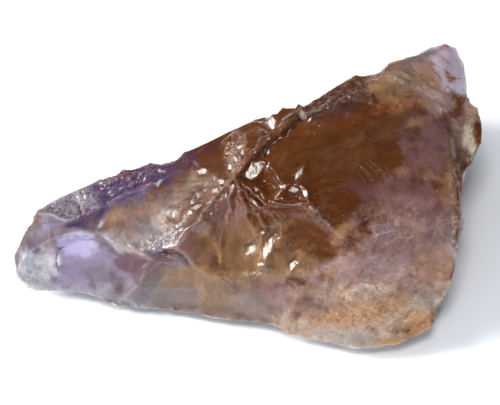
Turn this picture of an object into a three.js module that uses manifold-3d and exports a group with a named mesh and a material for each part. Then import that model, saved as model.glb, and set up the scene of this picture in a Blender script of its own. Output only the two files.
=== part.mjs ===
import * as THREE from 'three';
import { mergeVertices } from 'three/addons/utils/BufferGeometryUtils.js';
import Module from 'manifold-3d';

// A rough piece of ametrine: one broken block of quartz, about 45 mm long, thick at one end and narrow at the
// other. It is bounded by shell-shaped fracture faces that meet in sharp ridges, and lies on a flat one.
// Millimetres, +Z up, the narrow end towards -X. The origin is in the middle of the bounding box, on the
// table.

const VIEW_ELEVATION = THREE.MathUtils.degToRad(50);
const EYE_DISTANCE = 300;
const LONGEST_SIDE = 1.25; // no side of a triangle on a fracture face is longer
const RIDGE_WANDER = 0.05; // how far a ridge strays from straight, as a share of its length
const RIDGE_SEED = 7;
const MOST_SPLIT_ROUNDS = 40;
const FLIP_ANGLE = Math.PI + 0.02; // the sum of the two angles facing a side, past which the side is turned
const RELAX_ROUNDS = 40;
const RELAX_ROUNDS_PER_SPLIT = 2;
const LEVEL_NORMAL = 0.9; // a face whose normal rises further than this counts as level
const CHIP_SEGMENTS = 20; // round the ball that a chip is the print of

// The eye that the visible corners were measured from: in front of the stone and above it, looking at the
// origin.
const towardsEye = new THREE.Vector3(0, -Math.cos(VIEW_ELEVATION), Math.sin(VIEW_ELEVATION));
const eye = towardsEye.multiplyScalar(EYE_DISTANCE);
const viewUp = new THREE.Vector3(0, Math.sin(VIEW_ELEVATION), Math.cos(VIEW_ELEVATION));

// A corner that is seen this far across and this far up, and is this high above the table.
function seen(across, up, height) {
  const onView = viewUp.clone().multiplyScalar(up).setX(across);
  const ray = onView.sub(eye);
  return eye.clone().addScaledVector(ray, (height - eye.z) / ray.z);
}

const corners = new Map();

// A row of corners along one ridge, named by the ridge and their place in it.
function ridge(name, points) {
  points.forEach((point, i) => corners.set(name + i, point));
}

function seenRidge(name, points) {
  ridge(name, points.map((point) => seen(...point)));
}

function hiddenRidge(name, points) {
  ridge(name, points.map((point) => new THREE.Vector3(...point)));
}

// The crest is the skyline, from the narrow tip up to the lump at the thick end.
seenRidge('crest', [
  [-23.7, -5.4, 4.0], [-22.3, -2.6, 5.6], [-21.6, -1.0, 6.6], [-20.0, 0.0, 7.2], [-18.2, 0.9, 7.8],
  [-15.2, 2.3, 8.6], [-12.5, 3.4, 9.4], [-9.0, 4.3, 10.2], [-6.2, 5.1, 11.0], [-3.9, 6.2, 11.9],
  [-0.7, 7.7, 13.0], [2.2, 9.3, 14.2], [5.0, 9.8, 14.8], [6.8, 10.4, 15.0], [8.4, 11.6, 15.4],
  [10.2, 12.6, 15.8], [13.0, 13.6, 16.0], [15.2, 14.3, 15.8], [16.8, 14.8, 15.4], [18.1, 15.6, 15.2],
  [19.5, 15.9, 14.6], [20.6, 15.4, 14.0], [21.2, 14.4, 13.4], [21.6, 12.8, 12.8], [21.7, 11.2, 12.6],
]);

// The flank is the edge of the thick end, from the lump down to the front.
seenRidge('flank', [
  [22.5, 10.1, 12.2], [23.0, 8.5, 11.6], [23.2, 7.2, 11.0], [22.9, 5.1, 10.4], [22.2, 3.9, 10.2],
  [21.2, 3.0, 10.6], [21.1, 0.3, 10.2], [21.1, -1.9, 9.4], [20.8, -4.8, 8.0], [20.6, -6.8, 6.8],
  [20.1, -8.0, 6.0], [19.6, -9.2, 5.0], [18.7, -10.5, 4.2], [18.4, -11.8, 3.4], [18.0, -12.6, 2.8],
]);

// The front is the low edge nearest the viewer, from the thick end back to the tip.
seenRidge('front', [
  [16.7, -13.4, 2.2], [14.8, -14.2, 1.8], [12.2, -14.6, 1.6], [9.8, -14.7, 1.6], [8.0, -14.0, 1.8],
  [5.5, -13.6, 1.6], [3.8, -13.2, 1.6], [2.6, -12.4, 1.8], [0.0, -12.0, 1.4], [-2.8, -11.7, 1.4],
  [-5.5, -11.2, 1.4], [-8.2, -10.8, 1.2], [-11.0, -10.6, 1.3], [-13.2, -10.4, 1.5], [-15.0, -9.6, 1.8],
  [-16.4, -9.1, 1.7], [-18.8, -8.9, 1.5], [-21.2, -8.9, 1.6], [-22.6, -8.4, 2.2], [-23.4, -7.5, 3.0],
]);

// The ridges of the narrow end: the top of the clear window, its frosted end, and the rough band under the
// crest.
seenRidge('window', [
  [-22.4, -5.0, 4.8], [-20.2, -3.8, 6.2], [-17.4, -2.9, 6.8], [-15.0, -2.8, 7.0], [-12.8, -3.8, 6.9],
  [-11.0, -4.9, 6.8],
]);
seenRidge('frost', [[-19.2, -5.6, 4.8], [-19.2, -7.4, 3.0]]);
seenRidge('band', [
  [-20.2, -1.2, 7.3], [-18.1, -1.8, 7.6], [-16.7, -1.2, 8.0], [-15.0, 0.0, 8.6], [-12.2, 1.2, 9.4],
  [-9.5, 2.2, 10.1], [-7.0, 3.2, 10.8], [-5.6, 4.3, 11.3],
]);

// The hub is where the stone was struck: ridges and shell-shaped scoops spread from it.
seenRidge('hub', [[-1.6, 2.4, 13.6]]);
seenRidge('cheek', [[-2.2, 6.4, 12.9], [-2.9, 2.2, 12.4]]);
seenRidge('brow', [[0.0, 5.2, 14.0], [2.0, 7.1, 14.7], [3.9, 8.9, 15.2]]);
seenRidge('bar', [[1.3, 4.8, 13.9], [2.9, 6.5, 14.6], [4.7, 8.4, 15.3]]);
seenRidge('wing', [
  [-3.2, 1.1, 12.2], [-4.3, -0.2, 11.6], [-5.0, -1.7, 10.8], [-6.5, -2.9, 9.7], [-7.0, -4.5, 8.6],
]);
seenRidge('spine', [[-0.4, -0.2, 11.9], [0.8, -2.9, 9.9], [1.8, -6.0, 7.6]]);
seenRidge('rim', [[2.1, 3.4, 13.9], [3.4, 1.5, 13.3], [2.2, 0.0, 12.5], [0.2, 2.0, 13.2]]);
seenRidge('flake', [[4.7, 1.9, 13.5], [5.5, 0.9, 13.3], [5.9, -0.4, 12.7], [4.2, -0.2, 12.5]]);
seenRidge('ledge', [[7.1, -1.3, 12.2], [8.4, -2.6, 11.4], [10.2, -3.7, 10.5], [11.2, -4.3, 10.0]]);

// The ridges of the thick end: the rough strip under the crest, the valley below the lump, and the inner
// flank.
seenRidge('strip', [[7.2, 9.3, 15.7], [10.0, 10.9, 15.9], [13.5, 11.6, 15.9]]);
seenRidge('valley', [[15.8, 13.4, 15.3], [17.5, 11.6, 14.4], [19.4, 10.8, 13.6]]);
seenRidge('inner', [[19.5, 7.5, 12.9], [20.2, 4.5, 11.8], [20.3, 1.0, 11.0]]);
seenRidge('brink', [[14.5, -2.3, 10.7], [18.0, -0.8, 10.8]]);
seenRidge('lobe', [[10.6, -6.0, 8.4]]);

// The shoulder parts the upper faces from the steep lower ones, and the sill lies just above the front edge.
seenRidge('shoulder', [
  [-9.8, -5.9, 6.4], [-8.0, -5.9, 6.7], [-5.4, -6.4, 6.5], [-2.6, -7.7, 5.8], [0.2, -7.9, 5.7],
  [2.2, -7.6, 6.2], [5.0, -8.7, 5.8], [8.0, -8.9, 5.8], [10.2, -8.2, 6.5], [12.2, -8.3, 6.4],
  [15.0, -9.3, 5.4], [17.5, -9.6, 4.9],
]);
seenRidge('notch', [[-9.2, -4.6, 7.6]]);
seenRidge('skirt', [[-11.2, -8.2, 4.2], [-4.3, -9.0, 3.9], [-0.8, -10.2, 3.0]]);
seenRidge('sill', [
  [4.0, -11.4, 3.4], [7.0, -12.3, 3.0], [10.0, -13.2, 2.8], [13.5, -13.3, 2.8], [16.5, -12.8, 2.8],
]);

// The far side and the underside, which the eye doesn't see.
hiddenRidge('back', [
  [-20.8, -6.0, 3.2], [-16.0, -2.8, 4.4], [-9.5, -1.0, 4.6], [-1.5, 2.6, 6.2], [6.0, 5.0, 8.8],
  [14.5, 8.4, 7.4], [19.3, 8.8, 8.8],
]);
hiddenRidge('heel', [
  [-22.0, -8.6, 1.4], [-16.0, -3.6, 1.0], [-8.0, -0.2, 1.4], [0.5, 3.6, 0.9], [8.0, 7.0, 1.6],
  [13.8, 10.4, 1.6], [18.4, 10.6, 2.4], [21.6, 3.0, 3.2], [20.6, -6.0, 2.6], [18.6, -14.5, 1.6],
]);
hiddenRidge('side', [[22.4, 2.0, 7.5], [20.7, -7.5, 6.0]]);
hiddenRidge('foot', [
  [-17.8, -10.4, 0], [-13.0, -12.6, 0], [-7.2, -12.2, 0], [1.0, -15.0, 0], [8.0, -17.8, 0], [13.6, -17.4, 0],
  [16.4, -12.8, 0], [17.4, -5.5, 0], [18.2, 3.2, 0], [12.4, 6.8, 0], [6.2, 3.4, 0], [-4.6, -0.2, 0],
  [-12.8, -4.8, 0], [-17.0, -7.4, 0],
]);

// Each fracture face: the corners round it, as ridge names with a place or a range of places, and how far its
// middle is hollowed. A negative hollow swells. Seen from outside, each loop of corners runs clockwise.
const facets = [
  ['crest0-1 window0 front19', 0.1],
  ['crest1-2 band0 window1-0', 0.2],
  ['window0-1 frost0-1 front16-19', 0.2],
  ['window1-5 shoulder0 skirt0 front13-16 frost1-0', 0.5],
  ['crest2-9 band7-0', 0.15],
  ['band0-2 window3-1', 0.25],
  ['band2-7 cheek1 wing0-4 notch0 window5-3', 0.5],
  ['crest9-10 cheek0 hub0 wing0 cheek1 band7', 0.3],
  ['crest10 brow0 hub0 cheek0', 0.2],
  ['crest10 brow1-0', 0.2],
  ['crest10-12 brow2-1', 0.3],
  ['hub0 brow0-2 crest12 bar2-0', -0.3],
  ['hub0 bar0 rim0-3', 1.0],
  ['rim1 flake0-3 rim2', 0.5],
  ['hub0 spine0-2 shoulder5-2 wing4-0', 0.9],
  ['hub0 rim3-2 flake3-2 ledge0-3 lobe0 shoulder8-5 spine2-0', 0.5],
  ['crest12-17 valley0 strip2-0 bar2', 0.15],
  ['bar0-2 strip0-2 valley0-2 inner0-2 flank7 brink1-0 ledge3-0 flake2-0 rim1-0', -0.35],
  ['crest17-24 valley2-0', -0.5],
  ['valley2 crest24 flank0-5 inner1-0', 0.35],
  ['inner1 flank5-7 inner2', 0.1],
  ['ledge3 brink0-1 flank7-11 shoulder11-8 lobe0', 0.4],
  ['notch0 wing4 shoulder2-0 window5', 0.2],
  ['shoulder0-2 skirt1 front10-13 skirt0', 0.45],
  ['shoulder2-4 skirt2 front9-10 skirt1', 0.35],
  ['shoulder4-6 sill0 front6-9 skirt2', 0.35],
  ['shoulder6-11 flank11-14 sill4-0', 0.25],
  ['sill0-4 flank14 front0-6', 0.15],
  ['heel0 back0 crest2-0', 0.3],
  ['back0-2 crest8-2', 0.9],
  ['back2-3 crest11-8', -0.3],
  ['back3-5 crest17-11', 1.2],
  ['back5-6 crest20-17', 0.5],
  ['back6 side0 flank2-0 crest24-20', 0.6],
  ['heel0-1 back1-0', 0.2],
  ['heel1-3 back3-1', 0.7],
  ['heel3-4 back4-3', 0.3],
  ['heel4-6 back6-4', 0.9],
  ['back6 heel6-7 side0', 0.4],
  ['side0 heel7-8 side1 flank7-2', 0.5],
  ['side1 heel8-9 flank14-7', 0.4],
  ['foot13-12 heel1-0', 0.1],
  ['foot12-10 heel3-1', 0.2],
  ['foot10 heel4-3', 0.1],
  ['foot10-8 heel6-4', 0.2],
  ['foot8 heel7-6', 0.1],
  ['foot8-7 heel8-7', 0.1],
  ['foot7-6 heel9-8', 0.1],
  ['heel9 foot6-5 front1-0 flank14', 0.1],
  ['foot5-4 front5-1', 0.1],
  ['foot4-3 front9-5', 0.1],
  ['foot3-2 front12-9', 0.1],
  ['foot2-1 front15-12', 0.1],
  ['foot1-0 front18-15', 0.1],
  ['crest0 front19-18 foot0 foot13 heel0', 0.1],
  ['foot0-13', 0],
];

// Small chips off the ridges: the place of the middle, the way that the chip faces, the radius of the ball
// that it is the print of, and its depth.
const chips = [
  [seen(-9.0, 4.3, 10.2), [0.1, 0.6, 0.8], 2.6, 0.5],
  [seen(-14.0, 2.8, 8.9), [-0.3, 0.5, 0.8], 1.8, 0.4],
  [seen(-21.9, -1.6, 6.1), [-0.9, 0.2, 0.5], 1.6, 0.4],
  [seen(0.8, 8.5, 13.6), [0.1, 0.7, 0.7], 2.2, 0.45],
  [seen(11.6, 13.1, 15.9), [0.0, 0.7, 0.7], 3.0, 0.5],
  [seen(22.2, 10.4, 12.3), [0.8, 0.3, 0.6], 2.0, 0.45],
  [seen(22.6, 4.5, 10.3), [0.9, -0.1, 0.5], 1.8, 0.45],
  [seen(21.0, -3.3, 8.7), [0.9, -0.2, 0.4], 2.4, 0.4],
  [seen(18.5, -11.2, 3.8), [0.8, -0.5, 0.3], 2.0, 0.45],
  [seen(-12.2, -10.5, 1.4), [0.0, -0.9, 0.3], 1.6, 0.4],
  [seen(-8.4, -10.8, 1.3), [0.0, -0.9, 0.2], 1.2, 0.35],
  [seen(9.0, -14.4, 1.7), [0.0, -0.9, 0.3], 1.8, 0.4],
  [seen(-1.4, -7.8, 5.9), [0.0, -0.6, 0.8], 2.4, 0.3],
  [seen(-5.0, -1.7, 10.9), [-0.5, -0.3, 0.8], 1.4, 0.3],
  [new THREE.Vector3(-1.5, 2.6, 6.2), [-0.4, 0.9, 0.4], 3.4, 0.9],
  [new THREE.Vector3(-13.0, -1.9, 4.5), [0.1, 0.9, 0.3], 3.0, 0.5],
  [new THREE.Vector3(14.5, 8.4, 7.4), [0.3, 0.9, 0.1], 4.0, 0.8],
  [new THREE.Vector3(21.9, 2.6, 5.4), [0.9, 0.2, 0.0], 3.0, 0.5],
  [new THREE.Vector3(4.6, -16.6, 0.2), [0.1, -0.4, -0.9], 5.0, 0.9],
  [new THREE.Vector3(-9.0, -2.4, 0.1), [-0.1, 0.4, -0.9], 4.5, 0.7],
  [new THREE.Vector3(17.8, -1.0, 0.2), [0.5, 0.0, -0.8], 4.0, 0.8],
];

// Random numbers from 0 to 1 that are the same on every run.
function seededRandom(seed) {
  let state = seed;
  return () => {
    state = (state + 0x6d2b79f5) | 0;
    let mixed = Math.imul(state ^ (state >>> 15), 1 | state);
    mixed = (mixed + Math.imul(mixed ^ (mixed >>> 7), 61 | mixed)) ^ mixed;
    return ((mixed ^ (mixed >>> 14)) >>> 0) / 2 ** 32;
  };
}
const random = seededRandom(RIDGE_SEED);

// Turns 'crest0-2 back0' into the names crest0, crest1, crest2 and back0. A range may run down as well as up.
function cornerNames(loop) {
  return loop.split(' ').flatMap((stretch) => {
    const [, ridgeName, first, last] = stretch.match(/^([a-z]+)(\d+)(?:-(\d+))?$/);
    const from = Number(first);
    const to = last === undefined ? from : Number(last);
    const step = Math.sign(to - from) || 1;
    return Array.from({ length: Math.abs(to - from) + 1 }, (_, i) => ridgeName + (from + i * step));
  });
}

function middleOf(list) {
  return list.reduce((sum, point) => sum.add(point), new THREE.Vector3()).divideScalar(list.length);
}

// The normal of a loop of corners that don't all lie in one plane, by Newell's sum.
function loopNormal(loop) {
  const sum = new THREE.Vector3();
  loop.forEach((corner, i) => sum.add(corner.clone().cross(loop[(i + 1) % loop.length])));
  return sum.normalize();
}

const xAxis = new THREE.Vector3(1, 0, 0);
const zAxis = new THREE.Vector3(0, 0, 1);

// The first triangles of one facet, between its corners, as three point numbers each.
function facetTriangles(points, numbers) {
  const normal = loopNormal(numbers.map((number) => points[number]));
  const slanting = Math.abs(normal.z) < LEVEL_NORMAL ? zAxis : xAxis;
  const across = new THREE.Vector3().crossVectors(normal, slanting).normalize();
  const along = new THREE.Vector3().crossVectors(normal, across);
  const flat = numbers.map((number) => {
    const point = points[number];
    return new THREE.Vector2(point.dot(across), point.dot(along));
  });
  return THREE.ShapeUtils.triangulateShape(flat, []).map((face) => face.map((i) => numbers[i]));
}

// The shell starts as the corners, joined by each facet's triangles. Each triangle knows its facet.
function cornerShell() {
  const names = [...corners.keys()];
  const points = names.map((name) => corners.get(name).clone());
  const triangles = facets.flatMap(([loop], facet) => {
    const numbers = cornerNames(loop).reverse().map((name) => names.indexOf(name));
    return facetTriangles(points, numbers).map((at) => ({ at, facet }));
  });
  return { points, triangles };
}

function pairKey(a, b) {
  return `${Math.min(a, b)} ${Math.max(a, b)}`;
}

// Every side in the shell, with the triangle to its left and the one to its right. The sides that have only
// one triangle of a facet are its ridges, and have another facet's triangle to their right.
function sidesOf({ points, triangles }) {
  const inside = new Map();
  const ridges = new Map();
  for (const triangle of triangles) {
    triangle.at.forEach((from, i) => {
      const to = triangle.at[(i + 1) % 3];
      const beside = { triangle, apex: triangle.at[(i + 2) % 3] };
      const key = `${pairKey(from, to)} ${triangle.facet}`;
      const length = points[from].distanceTo(points[to]);
      if (inside.has(key)) inside.get(key).right = beside;
      else inside.set(key, { from, to, left: beside, length, isRidge: false });
    });
  }
  for (const [key, side] of inside) {
    if (side.right) continue;
    const pair = pairKey(side.from, side.to);
    if (ridges.has(pair)) ridges.get(pair).right = side.left;
    else ridges.set(pair, { ...side, isRidge: true });
    inside.delete(key);
  }
  return [...inside.values(), ...ridges.values()];
}

// The middle of a side. A ridge's middle strays a little, but not off the table.
function middlePoint({ points }, { from, to, isRidge, length }) {
  const middle = points[from].clone().lerp(points[to], 0.5);
  const onTable = points[from].z === 0 && points[to].z === 0;
  if (isRidge) {
    const stray = new THREE.Vector3(random() - 0.5, random() - 0.5, onTable ? 0 : random() - 0.5);
    middle.addScaledVector(stray, 2 * RIDGE_WANDER * length);
  }
  return middle;
}

// Splits the longest sides, and the two triangles beside each, until no side is too long.
function splitLongSides(shell) {
  for (let round = 0; round < MOST_SPLIT_ROUNDS; round += 1) {
    const long = sidesOf(shell).filter((side) => side.length > LONGEST_SIDE);
    if (long.length === 0) return;
    long.sort((a, b) => b.length - a.length);
    const used = new Set();
    const added = [];
    for (const side of long) {
      const { from, to, left, right } = side;
      if (used.has(left.triangle) || used.has(right.triangle)) continue;
      used.add(left.triangle).add(right.triangle);
      const middle = shell.points.push(middlePoint(shell, side)) - 1;
      added.push({ at: [from, middle, left.apex], facet: left.triangle.facet });
      added.push({ at: [middle, to, left.apex], facet: left.triangle.facet });
      added.push({ at: [to, middle, right.apex], facet: right.triangle.facet });
      added.push({ at: [middle, from, right.apex], facet: right.triangle.facet });
    }
    shell.triangles = shell.triangles.filter((triangle) => !used.has(triangle)).concat(added);
    flipFlatSides(shell);
    relax(shell, RELAX_ROUNDS_PER_SPLIT);
  }
}

function cornerAngle({ points }, apex, from, to) {
  const toFrom = points[from].clone().sub(points[apex]);
  return toFrom.angleTo(points[to].clone().sub(points[apex]));
}

// Turns a side inside a facet to the other diagonal where that makes rounder triangles.
function flipFlatSides(shell) {
  const sides = sidesOf(shell);
  const pairs = new Set(sides.map(({ from, to }) => pairKey(from, to)));
  const used = new Set();
  for (const { from, to, left, right, isRidge } of sides) {
    const turned = pairKey(left.apex, right.apex);
    if (isRidge || pairs.has(turned) || used.has(left.triangle) || used.has(right.triangle)) continue;
    const angles = cornerAngle(shell, left.apex, from, to) + cornerAngle(shell, right.apex, from, to);
    if (angles < FLIP_ANGLE) continue;
    used.add(left.triangle).add(right.triangle);
    pairs.add(turned);
    left.triangle.at = [left.apex, from, right.apex];
    right.triangle.at = [right.apex, to, left.apex];
  }
}

// Moves each point inside a facet to the middle of its neighbours, so that the facet spans its ridges
// smoothly.
function relax(shell, rounds) {
  const neighbours = shell.points.map(() => new Set());
  const onRidge = ridgePoints(shell);
  for (const { from, to } of sidesOf(shell)) {
    neighbours[from].add(to);
    neighbours[to].add(from);
  }
  for (let round = 0; round < rounds; round += 1) {
    neighbours.forEach((near, i) => {
      if (!onRidge.has(i)) shell.points[i].copy(middleOf([...near].map((number) => shell.points[number])));
    });
  }
}

function ridgePoints(shell) {
  const ridges = sidesOf(shell).filter((side) => side.isRidge);
  return new Set(ridges.flatMap((side) => [side.from, side.to]));
}

// Hollows the middle of each facet, steeply from its ridges and level in the middle, as in a shell-shaped
// fracture.
function hollowFacets(shell) {
  const onRidge = ridgePoints(shell);
  facets.forEach(([, hollow], facet) => {
    const own = shell.triangles.filter((triangle) => triangle.facet === facet);
    const numbers = [...new Set(own.flatMap((triangle) => triangle.at))];
    const border = numbers.filter((number) => onRidge.has(number));
    const inside = numbers.filter((number) => !onRidge.has(number));
    const inward = own.reduce((sum, { at }) => {
      const [a, b, c] = at.map((number) => shell.points[number]);
      return sum.add(b.clone().sub(a).cross(c.clone().sub(a)));
    }, new THREE.Vector3()).normalize().negate();
    const fromBorder = inside.map((number) => (
      Math.min(...border.map((other) => shell.points[number].distanceTo(shell.points[other])))
    ));
    const widest = Math.max(...fromBorder);
    inside.forEach((number, i) => {
      const share = 1 - (1 - fromBorder[i] / widest) ** 2;
      shell.points[number].addScaledVector(inward, hollow * share);
    });
  });
}

function solidOf(geometry) {
  for (const name of ['normal', 'uv']) geometry.deleteAttribute(name);
  const merged = mergeVertices(geometry);
  return new wasm.Manifold(new wasm.Mesh({
    numProp: 3,
    vertProperties: merged.attributes.position.array,
    triVerts: new Uint32Array(merged.index.array),
  }));
}

function geometryOf(solid) {
  const mesh = solid.getMesh();
  const geometry = new THREE.BufferGeometry();
  geometry.setAttribute('position', new THREE.BufferAttribute(mesh.vertProperties, mesh.numProp));
  geometry.setIndex([...mesh.triVerts]);
  return geometry;
}

function shellGeometry(shell) {
  const geometry = new THREE.BufferGeometry().setFromPoints(shell.points);
  geometry.setIndex(shell.triangles.flatMap((triangle) => triangle.at));
  return geometry;
}

// The ball that leaves a chip of this depth where it bites the stone.
function chipBall([place, towards, radius, depth]) {
  const centre = place.clone().addScaledVector(new THREE.Vector3(...towards).normalize(), radius - depth);
  const ball = new THREE.SphereGeometry(radius, CHIP_SEGMENTS, CHIP_SEGMENTS / 2);
  return solidOf(ball.translate(centre.x, centre.y, centre.z));
}

function makeStone() {
  const shell = cornerShell();
  splitLongSides(shell);
  relax(shell, RELAX_ROUNDS);
  hollowFacets(shell);
  const whole = solidOf(shellGeometry(shell));
  const chipped = chips.reduce((solid, chip) => solid.subtract(chipBall(chip)), whole);
  const geometry = geometryOf(chipped);
  geometry.computeBoundingBox();
  const { min, max } = geometry.boundingBox;
  return geometry.translate(-(min.x + max.x) / 2, -(min.y + max.y) / 2, -min.z);
}

const wasm = await Module();
wasm.setup();

const quartz = new THREE.MeshStandardMaterial({ color: 0x8a6a6a, roughness: 0.25, metalness: 0 });
const stone = new THREE.Mesh(makeStone(), quartz);
stone.name = 'ametrine_stone';

const ametrine = new THREE.Group();
ametrine.add(stone);

export default ametrine;
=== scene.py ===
"""A rough piece of ametrine on a pale studio floor: its surface, its colours, and the light on it."""

from math import cos, pi, radians, sin

import bmesh
import bpy
import numpy as np
from bpy.props import FloatProperty, FloatVectorProperty, PointerProperty
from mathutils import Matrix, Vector, noise
from mathutils.bvhtree import BVHTree


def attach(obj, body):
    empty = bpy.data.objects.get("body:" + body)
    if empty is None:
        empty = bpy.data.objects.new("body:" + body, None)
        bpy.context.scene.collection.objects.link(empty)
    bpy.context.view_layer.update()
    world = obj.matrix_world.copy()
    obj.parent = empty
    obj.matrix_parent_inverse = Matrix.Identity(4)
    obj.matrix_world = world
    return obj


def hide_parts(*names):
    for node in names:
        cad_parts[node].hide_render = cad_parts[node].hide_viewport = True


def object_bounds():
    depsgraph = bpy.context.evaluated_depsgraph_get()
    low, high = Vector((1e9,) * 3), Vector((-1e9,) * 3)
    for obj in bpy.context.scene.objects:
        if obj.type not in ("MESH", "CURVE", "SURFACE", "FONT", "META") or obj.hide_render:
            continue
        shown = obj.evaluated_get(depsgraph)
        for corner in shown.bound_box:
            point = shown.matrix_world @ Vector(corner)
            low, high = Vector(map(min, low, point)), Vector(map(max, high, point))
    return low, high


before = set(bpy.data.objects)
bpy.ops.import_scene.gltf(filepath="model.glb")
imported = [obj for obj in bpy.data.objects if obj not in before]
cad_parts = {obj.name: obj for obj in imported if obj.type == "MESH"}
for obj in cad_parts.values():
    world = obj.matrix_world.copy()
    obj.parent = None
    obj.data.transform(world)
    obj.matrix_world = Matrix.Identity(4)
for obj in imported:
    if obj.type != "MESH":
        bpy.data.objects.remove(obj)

bl_info = {
    "name": "Rough Ametrine",
    "version": (1, 0, 0),
    "blender": (4, 5, 0),
    "location": "3D View > Sidebar > Ametrine",
    "description": "Finishes a rough ametrine stone and sets it on a studio floor",
    "category": "Object",
}

CAD_NODE = "ametrine_stone"
CAD_BOX = [list(corner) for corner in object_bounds()]
MM = 0.001

# The photo's view: how high the eye is, how far away, and the point on the floor that its middle looks at.
# One pixel of the photo is this wide at that point.
VIEW_ELEVATION = radians(50)
VIEW_DISTANCE = 300 * MM
VIEW_AIM = Vector((0.2, 4.51, 0.0)) * MM
PIXEL = 0.1 * MM
PHOTO_WIDTH = 500
PHOTO_HEIGHT = 405

TO_EYE = np.array((0.0, -cos(VIEW_ELEVATION), sin(VIEW_ELEVATION)))
VIEW_UP = np.array((0.0, sin(VIEW_ELEVATION), cos(VIEW_ELEVATION)))
EYE = np.array(VIEW_AIM) + TO_EYE * VIEW_DISTANCE

# The two small lights that the flake scars mirror, and the point that every light looks at.
KEY_PLACE = (-0.25, 0.0, 0.168)
LAMP_PLACE = (0.0, -0.12, 0.30)
LIGHTS_AIM = (0.0, 0.0, 5 * MM)

# How fast the photo's marks come in on faces that turn towards the eye, and where the scars begin to.
FACING_GAIN = 4
SCARS_BEGIN = 0.6

# How near to edge-on a face lies at the outline, and the share of its relief that it loses there.
OUTLINE_WIDTH = 0.2
OUTLINE_CALM = 0.6

# How far above the surface a ray towards the eye starts.
RAY_START = 0.05 * MM

# How far the edges of the carved marks stray in pixels, and the size of their lumps.
MARK_STRAY = 2.4
MARK_LUMPS = 0.9 * MM

# A carved ridge rises to its full height over this part of its length, from this share at the very end.
RIDGE_ENDS = 1 / 6
LOWEST_END = 0.25

# A scar reaches a little past its ellipse, and has a soft edge. It is never deeper than this, and its cut is
# never steeper than this least cosine gives.
SCAR_REACH = 1.25
SCAR_SOFTNESS = 1.1
DEEPEST_SCAR = 0.8 * MM
LEAST_COSINE = 0.5

# Ridges that are sharper than this stay crisp, and how crisp. Edges up to the last angle shade smooth.
RIDGE_ANGLE = radians(24)
RIDGE_CREASE = 0.7
SMOOTH_ANGLE = radians(50)

# The ellipse round the hub that gets finer faces, where its strength is above this share: its middle, its
# radii and its turn.
FINE_ZONE = ((262, 205), (70, 82), 0)
FINE_SHARE = 0.3

# Up to what height the foot is flat, the stone stays without relief, and its ridges never flow together.
FOOT_HEIGHT = 0.02 * MM
BARE_HEIGHT = 0.05 * MM
CRISP_HEIGHT = 1 * MM

# How near to each other corners are one, and how far inside the CAD stone's box all points stay.
JOIN_DISTANCE = 0.01 * MM
BOX_SLACK = 0.001 * MM


def pixels_of(points):
    """The photo's pixel that each point of the stone shows at, as columns x and y."""
    from_aim = points - np.array(VIEW_AIM)
    nearness = VIEW_DISTANCE / (VIEW_DISTANCE - from_aim @ TO_EYE)
    x = PHOTO_WIDTH / 2 + from_aim[:, 0] * nearness / PIXEL
    y = PHOTO_HEIGHT / 2 - from_aim @ VIEW_UP * nearness / PIXEL
    return np.column_stack((x, y))


# The pixel where the blow that split the stone landed, and the radius of the crushed spot there. The fracture
# faces fan out from here.
HUB = np.array((237.0, 178.0))
HUB_RADIUS = 4

# Zones in which the fracture faces flow into each other without a crisp ridge, and how far. A zone is an
# ellipse of the photo: its middle and its radii in pixels, and its turn in degrees.
FLOWING = (
    ("fan below the hub", (243, 236), (66, 46), 0, 1.0),
    ("right of the fan", (318, 258), (62, 34), 10, 1.0),
    ("slope", (160, 226), (46, 20), 22, 0.6),
    ("thick end", (400, 262), (52, 44), 0, 0.8),
    ("rind", (360, 318), (66, 22), 8, 0.5),
    ("crest above the rod", (286, 108), (20, 9), 20, 0.9),
    ("crest above the band", (146, 161), (16, 8), 24, 0.7),
)

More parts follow.
